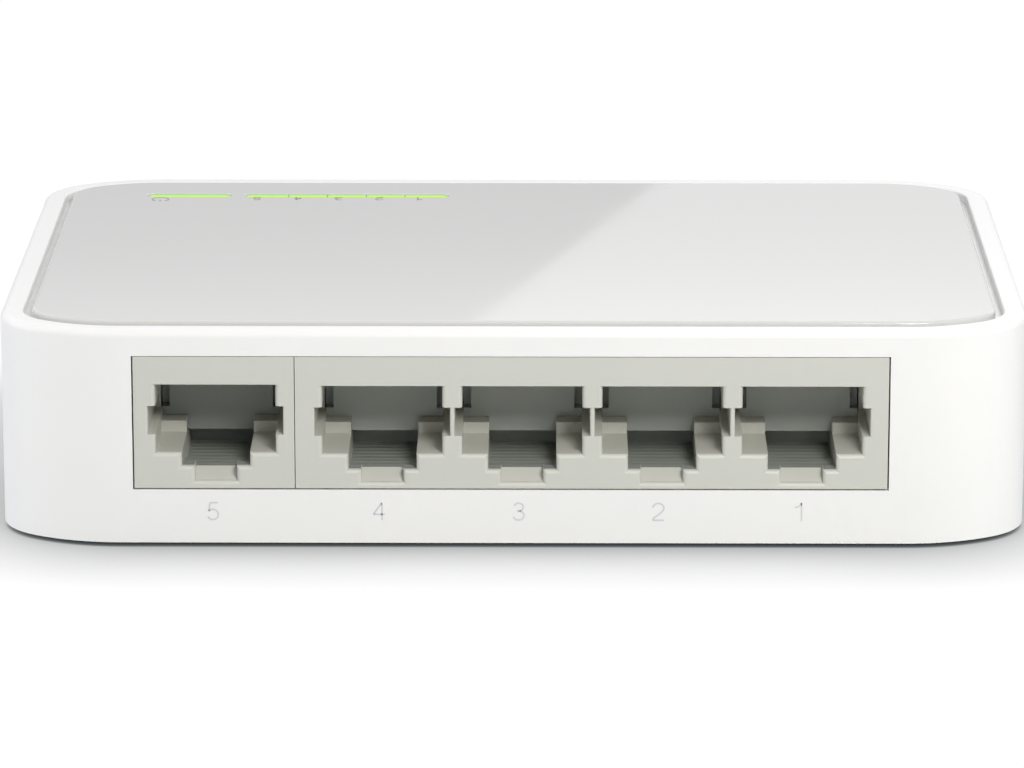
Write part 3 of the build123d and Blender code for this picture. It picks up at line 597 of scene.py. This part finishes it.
@dataclass(frozen=True)
class Print:
    """One printed mark on a flat face.

    Attributes:
        mark: What is printed.
        centre: Middle of the mark on the face, in metres.
        right: Unit vector along the reading direction.
        up: Unit vector towards the top of the mark.
        height_mm: Height of the mark's cell.
        pen_mm: Width of its strokes.
        film_mm: Thickness of the ink film.
    """

    mark: Mark
    centre: tuple[float, float, float]
    right: tuple[float, float, float]
    up: tuple[float, float, float]
    height_mm: float
    pen_mm: float
    film_mm: float = 0.012

    def add_to(self, skin: Skin) -> None:
        """Adds the mark's strokes to a skin.

        A stroke is a ribbon along its centre line. Its half width is the pen's, and within half a pen of each
        end it narrows as the sine of an even turn, so that the ends are round.

        Args:
            skin: The skin that gathers the ribbons.
        """
        right, up = np.array(self.right, float), np.array(self.up, float)
        out = np.cross(right, up)
        strokes = [stroke * self.height_mm * MM for stroke in strokes_of(self.mark)]
        corner = np.concatenate(strokes)
        middle = (corner.min(axis=0) + corner.max(axis=0)) / 2
        for stroke in strokes:
            path, half = self.ribbon(stroke - middle)
            slope = np.gradient(path, axis=0)
            slope /= np.linalg.norm(slope, axis=1, keepdims=True)
            across = np.stack([-slope[:, 1], slope[:, 0]], axis=1) * half[:, None]
            edges = np.stack([path + across, path - across], axis=1)
            flat = np.array(self.centre) + edges[..., :1] * right + edges[..., 1:] * up
            film = out * self.film_mm * MM
            grid = np.concatenate([flat + film, flat[:, ::-1] - film], axis=1)
            skin.add(grid)

    def ribbon(self, stroke: np.ndarray) -> tuple[np.ndarray, np.ndarray]:
        """Spaces points evenly along a stroke, closer at its round ends.

        Args:
            stroke: Centre line, shape (n, 2).

        Returns:
            The points, and half the ribbon's width at each.
        """
        steps = np.linalg.norm(np.diff(stroke, axis=0), axis=1)
        run = np.concatenate([[0], np.cumsum(steps)])
        pen = self.pen_mm * MM / 2
        turn = np.linspace(0.08, np.pi / 2, 6)
        inner = run[(run > 1.2 * pen) & (run < run[-1] - 1.2 * pen)]
        along = np.concatenate([pen * (1 - np.cos(turn)), inner, (run[-1] - pen * (1 - np.cos(turn)))[::-1]])
        half = np.concatenate([pen * np.sin(turn), np.full(len(inner), pen), (pen * np.sin(turn))[::-1]])
        return np.stack([np.interp(along, run, stroke[:, i]) for i in (0, 1)], axis=1), half


@dataclass
class Printing:
    """All that is printed on the outside of the case, and on the label under it.

    Attributes:
        port_shift_mm: How far the port numbers stand to the right of the carriers' middles.
        light_shift_mm: The same for the light numbers and the middle pipe.
        inlet_marks: Each of the inlet's marks with the height of its middle.
    """

    finishes: Finishes
    port_height_mm: float = 1.93
    port_pen_mm: float = 0.17
    port_middle_mm: float = 3.77
    port_shift_mm: float = -0.35
    light_height_mm: float = 1.35
    light_pen_mm: float = 0.14
    light_y_mm: float = 23.62
    light_pitch_mm: float = 4.46
    light_shift_mm: float = -0.85
    power_size_mm: float = 1.9
    power_place_mm: tuple[float, float] = (-38.9, 23.1)
    inlet_marks: tuple[tuple[Mark, float], ...] = ((Mark.DIRECT_CURRENT, 19.3), (Mark.CENTRE_POSITIVE, 3.9))
    inlet_size_mm: float = 1.5
    inlet_pen_mm: float = 0.16
    label_size_mm: float = 2.6
    border_inset_mm: float = 1.2
    border_pen_mm: float = 0.18
    film_mm: float = 0.012

    def build(self) -> None:
        """Prints the port numbers, the light numbers, the inlet's symbols and the label's frame."""
        self.print_ports()
        self.print_lights()
        self.print_inlet()
        self.print_label()

    def print_ports(self) -> None:
        """Prints each port's number under its socket."""
        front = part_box("upper_shell")[0].y
        size, pen = self.port_height_mm, self.port_pen_mm
        skin = Skin()
        for number in PORTS:
            x = middle_of(f"contact_carrier_{number}").x + self.port_shift_mm * MM
            place = (x, front, self.port_middle_mm * MM)
            Print(Mark(number), place, (1, 0, 0), (0, 0, 1), size, pen).add_to(skin)
        skin.piece("printed_port_numbers", self.finishes["ink_front"], "shell_white")

    def print_lights(self) -> None:
        """Prints the power symbol and the light numbers, to be read from the lights' side."""
        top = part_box("top_plate")[1].z
        middle = middle_of("port_light_pipe_3").x + self.light_shift_mm * MM
        marks = [(Mark.POWER, *self.power_place_mm, self.power_size_mm)]
        for number in PORTS:
            x = middle / MM + (3 - number) * self.light_pitch_mm
            marks.append((Mark(number), x, self.light_y_mm, self.light_height_mm))
        skin = Skin()
        for mark, x, y, size in marks:
            Print(mark, (x * MM, y * MM, top), (-1, 0, 0), (0, -1, 0), size, self.light_pen_mm).add_to(skin)
        skin.piece("printed_light_marks", self.finishes["ink_plate"], "plate_grey")

    def print_inlet(self) -> None:
        """Prints the direct current symbol over the power inlet, and the centre positive one under it."""
        wall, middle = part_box("upper_shell")[0].x, middle_of("power_inlet_body").y
        size, pen = self.inlet_size_mm, self.inlet_pen_mm
        skin = Skin()
        for mark, height in self.inlet_marks:
            Print(mark, (wall, middle, height * MM), (0, -1, 0), (0, 0, 1), size, pen).add_to(skin)
        skin.piece("printed_inlet_symbols", self.finishes["ink_front"], "shell_white")

    def print_label(self) -> None:
        """Prints a plain frame with two rules on the label, and the centre positive symbol."""
        low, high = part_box("rating_label")
        inset = self.border_inset_mm * MM
        x0, x1, y0, y1 = low.x + inset, high.x - inset, low.y + inset, high.y - inset
        corners = [(x0, y0), (x1, y0), (x1, y1), (x0, y1)]
        rules = [(a, b) for a, b in zip(corners, corners[1:] + corners[:1])]
        rules += [((x0, y), (x1, y)) for y in (y0 + (y1 - y0) / 3, y0 + 2 * (y1 - y0) / 3)]
        film, half = self.film_mm * MM, self.border_pen_mm / 2 * MM
        rule = np.array([[film, half], [film, -half], [-film, -half], [-film, half]])
        skin = Skin()
        for ends in rules:
            path = np.array([[x, y, low.z] for x, y in ends])
            path = path[0] + np.linspace(0, 1, 3)[:, None] * (path[1] - path[0])
            skin.add(carry(path, ALONG_Z, rule))
        place, size = ((x0 + x1) / 2, (y0 + y1) / 2, low.z), self.label_size_mm
        Print(Mark.CENTRE_POSITIVE, place, (-1, 0, 0), (0, 1, 0), size, self.border_pen_mm).add_to(skin)
        skin.piece("printed_label_frame", self.finishes["ink_plate"], "label_film")


# ------------------------------------------------------------------ contact wires
@dataclass
class ContactWires:
    """The eight plated wires of each port: fixed leads, and the fingers that spring under a plug."""

    finishes: Finishes
    wires: int = 8
    width_mm: float = 0.36
    thick_mm: float = 0.30
    bend_mm: float = 0.40
    corner_mm: float = 0.45
    row_step_mm: float = 1.4
    droop_mm: float = 0.06

    def build(self) -> None:
        """Makes both sets of wires for every port."""
        for number in PORTS:
            self.leads(number)
            self.fingers(number)

    def columns(self, node: str) -> np.ndarray:
        """Middles of the eight wires across the port.

        Args:
            node: CAD node of the wires.

        Returns:
            Eight X positions in metres.
        """
        low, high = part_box(node)
        inset = self.width_mm / 2 * MM
        return np.linspace(low.x + inset, high.x - inset, self.wires)

    def wire(self, x: float, flat: np.ndarray, tip: tuple[float, ...]) -> np.ndarray:
        """Carries the wire's soft rectangle along a path in a plane of constant X, and tapers its last rows.

        Args:
            x: Place of the plane, in metres.
            flat: Y and Z of the path's points, shape (n, 2).
            tip: Shares of the full section that the last rows keep.

        Returns:
            The wire's grid.
        """
        path = np.concatenate([np.full((len(flat), 1), x), flat], axis=1)
        grid = carry(path, ALONG_X, rounded_bar(self.width_mm * MM, self.thick_mm * MM))
        taper = np.ones(len(flat))
        taper[-len(tip):] = tip
        return path[:, None] + (grid - path[:, None]) * taper[:, None, None]

    def leads(self, number: int) -> None:
        """Makes a port's fixed leads: a half round fold, a straight run back, a corner, and a pin down.

        The path lies in a plane of constant X, and a soft rectangle is carried along it. Odd and even wires
        drop to the board in two rows.

        Args:
            number: Port number.
        """
        node = f"contact_leads_{number}"
        low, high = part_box(node)
        half, bend, corner = self.thick_mm / 2 * MM, self.bend_mm * MM, self.corner_mm * MM
        y, z = low.y + bend + half, high.z - bend - half
        fold = arc((y, z), (bend, bend), 270, 90, 17)
        skin = Skin()
        for i, x in enumerate(self.columns(node)):
            back = high.y - half - (0 if i % 2 else self.row_step_mm * MM)
            elbow = arc((back - corner, z + bend - corner), (corner, corner), 90, 0, 9)
            tip = line((back, low.z + 0.3 * MM), (back, low.z + 0.12 * MM), (back, low.z))
            flat = np.concatenate([fold, line((y + 0.5 * MM, z + bend)), elbow, line((back, z / 2)), tip])
            skin.add(self.wire(x, flat, (0.85, 0.5)))
        piece = skin.piece(f"wires_fixed_{number}", self.finishes["gold"], "contact_gold")
        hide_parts(node)

    def fingers(self, number: int) -> None:
        """Makes a port's springing fingers: a slope with a slight droop, z falling as a sine over its length.

        Args:
            number: Port number.
        """
        node = f"contact_fingers_{number}"
        low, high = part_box(node)
        half = self.thick_mm / 2 * MM
        share = np.linspace(0, 1, 14)
        y = low.y + share * (high.y - low.y - 0.05 * MM)
        z = high.z - half + share * (low.z - high.z + 2 * half) + self.droop_mm * MM * np.sin(np.pi * share)
        skin = Skin()
        for x in self.columns(node):
            skin.add(self.wire(x, np.stack([y, z], axis=1), (0.6,)))
        body = f"contact_springs_{number}"
        piece = skin.piece(f"wires_sprung_{number}", self.finishes["gold"], "contact_gold", body)
        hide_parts(node)


# ------------------------------------------------------------------ latch floors
@dataclass
class LatchFloors:
    """A ribbed strip in darker grey on the floor of each port's latch slot, where the plug's latch slides in:
    painted shade over the floor, with ribs for its stripes.

    Attributes:
        half_mm: Half of the strip's width; tail_half_mm is that of the gap for the latch's tail at the mouth.
        shelf_mm: Start, end and height of the entry shelf, either side of the tail's gap.
        steps_mm: The same for the floors behind it, from the front backwards.
        single_rise_mm: How much higher port 5's shelf lies, and its floors.
        rib_pitch_mm: Distance between ribs, and rib_mm is their height over the strip.
    """

    finishes: Finishes
    half_mm: float = 3.35
    tail_half_mm: float = 2.16
    shelf_mm: tuple[float, float, float] = (-34.4, -32.98, 8.07)
    steps_mm: tuple[tuple[float, float, float], ...] = ((-32.84, -29.96, 7.80), (-29.84, -20.75, 7.10))
    single_rise_mm: tuple[float, float] = (0.35, 0.12)
    rib_pitch_mm: float = 1.24
    rib_mm: float = 0.07
    film_mm: float = 0.03

    def build(self) -> None:
        """Lays a strip in each port."""
        for number in PORTS:
            self.strip(number)

    def strip(self, number: int) -> None:
        """Makes one port's strip, in four lengths.

        Args:
            number: Port number.
        """
        middle = middle_of(f"contact_carrier_{number}").x
        shelf_rise, rise = self.single_rise_mm if number == 5 else (0.0, 0.0)
        start, end, height = self.shelf_mm
        skin = Skin()
        for x0, x1 in ((-self.half_mm, -self.tail_half_mm), (self.tail_half_mm, self.half_mm)):
            self.length(skin, middle, (x0, x1), (start, end), height + shelf_rise)
        for start, end, height in self.steps_mm:
            self.length(skin, middle, (-self.half_mm, self.half_mm), (start, end), height + rise)
        # The strip's darker grey is painted shade on the latch floor.
        skin.piece(f"latch_floor_painted_shade_{number}", self.finishes["latch"], "carrier_grey", crease_deg=60)

    def length(self, skin: Skin, middle: float, across: tuple[float, float], along: tuple[float, float],
               floor: float) -> None:
        """Adds one length: a film whose height over the floor is film + rib max(0, cos(2 pi y / pitch))^3.

        Args:
            skin: The piece that it joins.
            middle: X of the port's middle, in metres.
            across: Its two sides, in millimetres from the middle.
            along: Y of its two ends, in millimetres.
            floor: Height of the floor under it, in millimetres.
        """
        y = np.linspace(*along, max(12, int(10 * (along[1] - along[0]))))
        rib = self.rib_mm * np.clip(np.cos(2 * np.pi * y / self.rib_pitch_mm), 0, 1) ** 3
        top, under = floor + self.film_mm + rib, np.full(len(y), floor + 0.002)
        corners = ((across[0], top), (across[1], top), (across[1], under), (across[0], under))
        grid = np.stack([
            np.stack([np.full(len(y), middle + x * MM), y * MM, z * MM], axis=-1) for x, z in corners
        ], axis=1)
        skin.add(grid)


# ------------------------------------------------------------------ lights
@dataclass
class LightBars:
    """The crowned lenses that close the light slots in the top plate.

    Attributes:
        crown_mm: Rise of a lens across its width, and proud_mm is how far its edge stands over its pipe.
        notch_mm: Length of the waist at a joint, and waist is the share of the half width that it takes.
        body: Colour of the acrylic; near, middle and far are those of its light, from the front backwards.
        glow: Strength of the light.
    """

    finishes: Finishes
    width_mm: float = 1.44
    crown_mm: float = 0.16
    proud_mm: float = 0.30
    notch_mm: float = 0.30
    waist: float = 0.16
    body: str = "#2E6E12"
    near: str = "#D6E65A"
    middle: str = "#7CCB22"
    far: str = "#38A010"
    glow: float = 0.95

    def build(self) -> None:
        """Makes the power lens and the five port lenses."""
        middle, half = middle_of("power_light_pipe").y, self.width_mm / 2 * MM
        colours = (self.body, self.near, self.middle, self.far)
        lit = LitLens("green_lit_acrylic_lens", *colours, middle - half, middle + half, self.glow)
        material = lit.material()
        self.lens("lens_power", "power_light_pipe", material, True, True)
        for number in PORTS:
            self.lens(f"lens_port_{number}", f"port_light_pipe_{number}", material, number == 5, number == 1)

    def lens(self, name: str, node: str, material: bpy.types.Material, round_left: bool,
             round_right: bool) -> None:
        """Makes one lens: a low pillow that stands on its pipe and fills the slot almost to the plate's face.

        Half its width at x is that of the slot. A round end takes it in by a half circle of the slot's radius.
        At a joint between two lenses only the rear side is taken in, by waist times a quarter circle over the
        notch's length, so that the row looks lobed from behind. Its height is crown (1 - v^2) times the same
        fall towards the ends, where v runs from -1 at the front to 1 at the rear.

        Args:
            name: Name of the piece.
            node: CAD node of the pipe below.
            material: Its lit finish.
            round_left: The end towards -X closes the slot's round end.
            round_right: The end towards +X does.
        """
        low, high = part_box(node)
        middle, half = (low.y + high.y) / 2, self.width_mm / 2 * MM
        turn = np.linspace(0, np.pi / 2, 10)
        ends, fronts, rears = [], [], []
        for is_round in (round_left, round_right):
            radius = half if is_round else self.notch_mm * MM
            ends.append(radius * (1 - np.cos(turn)))
            rears.append(half * np.sin(turn) if is_round else half * (1 - self.waist * (1 - np.sin(turn))))
            fronts.append(half * np.sin(turn) if is_round else np.full(len(turn), half))
        x = np.concatenate([low.x + ends[0], (high.x - ends[1])[::-1]])
        front = np.concatenate([fronts[0], fronts[1][::-1]])
        rear = np.concatenate([rears[0], rears[1][::-1]])
        fall = np.clip(rear / half, 0.02, 1)
        across = np.sin(np.linspace(-np.pi / 2, np.pi / 2, 13))
        y = middle + np.where(across < 0, front[:, None], rear[:, None]) * across
        foot = high.z + self.proud_mm * MM
        z = foot + self.crown_mm * MM * fall[:, None] * (1 - across ** 2)
        top = np.stack([np.broadcast_to(x[:, None], y.shape), y, z], axis=-1)
        under = top.copy()
        under[..., 2] = high.z - 0.02 * MM
        skin = Skin()
        skin.add(np.concatenate([top, under[:, ::-1]], axis=1))
        skin.piece(name, material, "light_green")


# ------------------------------------------------------------------ board
@dataclass
class BoardParts:
    """Pieces on the board that the CAD solids leave plain.

    Attributes:
        turns: Turns of the winding, and wire_mm is the wire's thickness.
        winding_mm: Radius of the winding, and the heights where it starts and ends.
        rim_mm: Width of the can's rolled edge, outside the pressed top.
        groove_mm: Half width of a vent groove, its depth, and how far the top swells.
    """

    finishes: Finishes
    turns: int = 7
    wire_mm: float = 0.34
    winding_mm: tuple[float, float, float] = (2.62, 1.12, 3.38)
    rim_mm: float = 0.55
    groove_mm: tuple[float, float, float] = (0.12, 0.02, 0.03)

    def build(self) -> None:
        """Makes the capacitor tops and the inductor's winding."""
        for size in ("large", "small"):
            self.can_top(f"capacitor_{size}")
        self.winding()

    def winding(self) -> None:
        """Winds the inductor: a round wire carried along a helix in the waist of its core.

        At turn t the wire's middle is at (R cos t, R sin t), rising evenly from the lower to the upper flange.
        """
        centre = np.array([*middle_of("power_inductor").xy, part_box("power_inductor")[0].z])
        radius, start, end = (value * MM for value in self.winding_mm)
        turn = np.linspace(0, 2 * np.pi * self.turns, 20 * self.turns + 1)
        rise = np.linspace(start, end, len(turn))
        path = centre + np.stack([radius * np.cos(turn), radius * np.sin(turn), rise], axis=1)
        around = np.linspace(0, 2 * np.pi, 8, endpoint=False)
        section = np.stack([np.cos(around), np.sin(around)], axis=1) * self.wire_mm / 2 * MM
        skin = Skin()
        skin.add(carry(path, ALONG_Z, section))
        skin.piece("inductor_winding", self.finishes["copper"], "contact_gold")

    def can_top(self, node: str) -> None:
        """Makes a capacitor's pressed top: a disc with a cross of vent grooves.

        Height over the rim is swell (1 - (r/R)^4), less the groove's depth where either |x| or |y| is small.

        Args:
            node: CAD node of the capacitor.
        """
        low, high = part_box(node)
        radius = (high.x - low.x) / 2 - self.rim_mm * MM
        centre = middle_of(node)
        half, depth, swell = (value * MM for value in self.groove_mm)
        r = radius * np.linspace(0.02, 1, 20)[:, None]
        turn = np.linspace(0, 2 * np.pi, 72, endpoint=False)[None, :]
        x, y = r * np.cos(turn), r * np.sin(turn)
        groove = np.exp(-(np.minimum(np.abs(x), np.abs(y)) / half) ** 2) * (r < 0.85 * radius)
        z = high.z + swell * (1 - (r / radius) ** 4) - depth * groove
        skin = Skin()
        skin.add(np.stack([centre.x + x, centre.y + y, z], axis=-1))
        skin.piece(f"{node}_top", self.finishes["aluminium"], "can_sleeve", crease_deg=60)


# ------------------------------------------------------------------ the CAD nodes
FINISH_OF_SLOT = {
    "shell_white": "shell", "plate_grey": "plate", "base_white": "base", "jack_grey": "jack",
    "carrier_grey": "carrier", "contact_gold": "gold", "inlet_black": "inlet", "nickel": "nickel",
    "tinned_leads": "tin", "light_green": "pipe", "holder_black": "holder", "led_package": "led",
    "board_green": "board", "epoxy_black": "epoxy", "can_sleeve": "sleeve", "crystal_can": "can",
    "ferrite": "ferrite", "chip_ceramic": "ceramic", "foot_rubber": "foot", "screw_steel": "zinc",
    "label_film": "label",
}


def dress_cad(finishes: Finishes) -> None:
    """Gives every CAD node the finish of its record slot.

    Args:
        finishes: The finishes.
    """
    for sub in frame["record"]["subparts"]:
        mesh = frame["nodes"][sub["node"]].data
        mesh.materials.clear()
        # Port 5's insert gets a darker grey as painted shade.
        key = "carrier_single" if sub["node"] == "contact_carrier_5" else FINISH_OF_SLOT[sub["material_slot"]]
        mesh.materials.append(finishes[key])
        LOG.info("%s: %s", sub["node"], mesh.materials[0].name)


# ------------------------------------------------------------------ studio
@dataclass(frozen=True)
class Panel:
    """One studio light: a rectangle that faces a point.

    Attributes:
        name: Name of the light.
        place: Its middle, in metres.
        size: Its width and height, in metres.
        watts: Its power.
        colour: sRGB hex colour of its light.
        aim: The point that it faces, in metres.
        turn_deg: How far the rectangle is turned about the line to that point.
        shine: Whether glossy faces mirror it.
    """

    name: str
    place: tuple[float, float, float]
    size: tuple[float, float]
    watts: float
    colour: str = "#FFFFFF"
    aim: tuple[float, float, float] = (0.0, 0.0, 0.011)
    turn_deg: float = 0.0
    shine: bool = True


def seen_and_unseen(tree: bpy.types.NodeTree, seen: bpy.types.NodeSocket,
                    unseen: bpy.types.NodeSocket) -> bpy.types.NodeSocket:
    """Shows one shader of the set to the camera, and another to the light that falls on the switch.

    Args:
        tree: The node tree.
        seen: The shader that the camera sees, such as plain white.
        unseen: The shader that lights the switch and shows in its gloss.

    Returns:
        The joined shader's output.
    """
    sight = add_node(tree, "ShaderNodeLightPath").outputs["Is Camera Ray"]
    return add_node(tree, "ShaderNodeMixShader", {0: sight, 1: unseen, 2: seen}).outputs["Shader"]


@dataclass(frozen=True)
class Sky:
    """Soft light from every side, as the walls of a light tent give it.

    Attributes:
        front: Strength low down on the sockets' side; back is behind the lights' side, and top is overhead.
        glow: Strength that is added behind, above the height where the tent's wall starts to shine.
        tint: sRGB hex colour of the light.
    """

    front: float = 0.22
    back: float = 0.60
    top: float = 0.66
    glow: float = 0.45
    tint: str = "#FEFDFF"

    def build(self) -> None:
        """Makes the world: white where the camera sees it, and the tent everywhere else."""
        world = bpy.data.worlds.new("light_tent")
        world.use_nodes = True
        tree = world.node_tree
        tree.nodes.clear()
        axes = add_node(tree, "ShaderNodeSeparateXYZ", {
            "Vector": add_node(tree, "ShaderNodeTexCoord").outputs["Generated"],
        })
        # Each row: axis, where the step starts and ends along it, and the values before and after it.
        steps = (
            ("Y", -0.25, 0.55, self.front, self.back), ("Z", 0.30, 0.85, 0.0, 1.0),
            ("Z", 0.222, 0.256, 0.0, self.glow), ("Y", 0.55, 0.9, 0.0, 1.0),
        )
        level, height, wall, behind = (
            add_node(tree, "ShaderNodeMapRange", {
                "Value": axes.outputs[axis], "From Min": start, "From Max": end, "To Min": low, "To Max": high,
            }, interpolation_type="SMOOTHSTEP").outputs["Result"]
            for axis, start, end, low, high in steps
        )
        strength = add_node(tree, "ShaderNodeMix", {0: height, 2: level, 3: self.top})
        total = add_node(tree, "ShaderNodeMath", {0: wall, 1: behind, 2: strength.outputs[0]},
                         operation="MULTIPLY_ADD")
        tent = add_node(tree, "ShaderNodeBackground", {
            "Color": linear(self.tint), "Strength": total.outputs["Value"],
        })
        white = add_node(tree, "ShaderNodeBackground", {"Color": linear("#FFFFFF"), "Strength": 1.0})
        shown = seen_and_unseen(tree, white.outputs["Background"], tent.outputs["Background"])
        add_node(tree, "ShaderNodeOutputWorld", {"Surface": shown})
        bpy.context.scene.world = world


@dataclass
class Studio:
    """Floor, lights and camera.

    Attributes:
        eye_mm: Where the camera stands; it looks pitch_deg down, and yaw_deg to the left.
        lens_mm: Its focal length.
        shade_mm: How far the switch's painted shadow reaches over the floor, and shade_power sharpens its
            edge.
        shade: sRGB hex colour of the deepest painted shadow; sheet is that of the floor's own face.
        shine: Strength of the floor's own light.
        panels: The lights.
    """

    eye_mm: tuple[float, float, float] = (3.25, -570.55, 156.77)
    pitch_deg: float = 14.63
    yaw_deg: float = 0.357
    lens_mm: float = 195.6
    shade_mm: float = 17.0
    shade_power: float = 1.1
    shade: str = "#1E282A"
    sheet: str = "#CDD0D1"
    shine: float = 1.03
    panels: tuple[Panel, ...] = (
        Panel("key", (0.115, -0.33, 0.235), (0.11, 0.11), 0.95, "#FFFCF6"),
        Panel("left_fill", (-0.45, 0.02, 0.14), (0.3, 0.3), 1.1, "#FDFBFF", shine=False),
        Panel("right_fill", (0.5, -0.02, 0.16), (0.3, 0.3), 0.5, "#FAFCFF", shine=False),
        Panel("rear_card", (0.105, 0.3, 0.207), (0.44, 0.3), 0.17, "#FFFFFF", (0.105, 0.0, 0.207), 38.3),
    )

    def build(self) -> None:
        """Sets up the camera first, then the floor, the sky and the lights."""
        self.camera()
        self.floor()
        Sky().build()
        for panel in self.panels:
            self.light(panel)
        bpy.context.scene.view_settings.view_transform = "Standard"

    def camera(self) -> None:
        """Places a long-lens camera in front of the sockets, looking a little down."""
        data = bpy.data.cameras.new("camera")
        data.lens, data.sensor_width, data.clip_end = self.lens_mm, SENSOR_MM, 50
        eye = bpy.data.objects.new("camera", data)
        eye.location = [c * MM for c in self.eye_mm]
        eye.rotation_euler = (math.radians(90 - self.pitch_deg), 0, math.radians(self.yaw_deg))
        bpy.context.scene.collection.objects.link(eye)
        bpy.context.scene.camera = eye

    def floor(self) -> None:
        """Lays a wide white sheet that shines evenly, with a painted shadow that darkens it where the case
        stands close.
        """
        mesh = bpy.data.meshes.new("floor")
        corners = [(x * FLOOR_REACH, y * FLOOR_REACH, 0) for x, y in ((-1, -1), (1, -1), (1, 1), (-1, 1))]
        mesh.from_pydata(corners, [], [(0, 1, 2, 3)])
        material, tree, output = fresh_tree("white_sheet_painted_shadow")
        # Painted shadow: ambient occlusion darkens the floor's camera-seen glow towards the shade colour.
        shade = add_node(tree, "ShaderNodeAmbientOcclusion", {"Distance": self.shade_mm * MM}, samples=16)
        depth = add_node(tree, "ShaderNodeMath", {
            0: shade.outputs["AO"], 1: self.shade_power,
        }, operation="POWER")
        tint = add_node(tree, "ShaderNodeMix", {
            0: depth.outputs["Value"], 6: linear(self.shade), 7: linear("#FFFFFF"),
        }, data_type="RGBA")
        lit = add_node(tree, "ShaderNodeEmission", {"Color": tint.outputs[2], "Strength": self.shine})
        sheet = add_node(tree, "ShaderNodeBsdfDiffuse", {"Color": linear(self.sheet)})
        shown = seen_and_unseen(tree, lit.outputs["Emission"], sheet.outputs["BSDF"])
        tree.links.new(shown, output.inputs["Surface"])
        mesh.materials.append(material)
        floor = bpy.data.objects.new("floor", mesh)
        bpy.context.scene.collection.objects.link(floor)

    def light(self, panel: Panel) -> None:
        """Hangs one panel.

        Args:
            panel: The panel.
        """
        data = bpy.data.lights.new(panel.name, "AREA")
        data.shape = "RECTANGLE"
        data.size, data.size_y = panel.size
        data.energy = panel.watts
        data.color = linear(panel.colour)[:3]
        lamp = bpy.data.objects.new(panel.name, data)
        lamp.location = panel.place
        facing = (Vector(panel.aim) - Vector(panel.place)).to_track_quat("-Z", "Y")
        lamp.rotation_euler = (facing @ Quaternion((0, 0, 1), math.radians(panel.turn_deg))).to_euler()
        lamp.visible_camera = False
        lamp.visible_glossy = panel.shine
        bpy.context.scene.collection.objects.link(lamp)


def main() -> None:
    """Builds the studio, the finishes and every piece."""
    logging.basicConfig(level=logging.INFO, format="%(message)s")
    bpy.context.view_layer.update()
    Studio().build()
    finishes = Finishes()
    dress_cad(finishes)
    for assembly in (ContactWires, LatchFloors, LightBars, BoardParts, Printing):
        assembly(finishes).build()


if __name__ == "__main__":
    main()
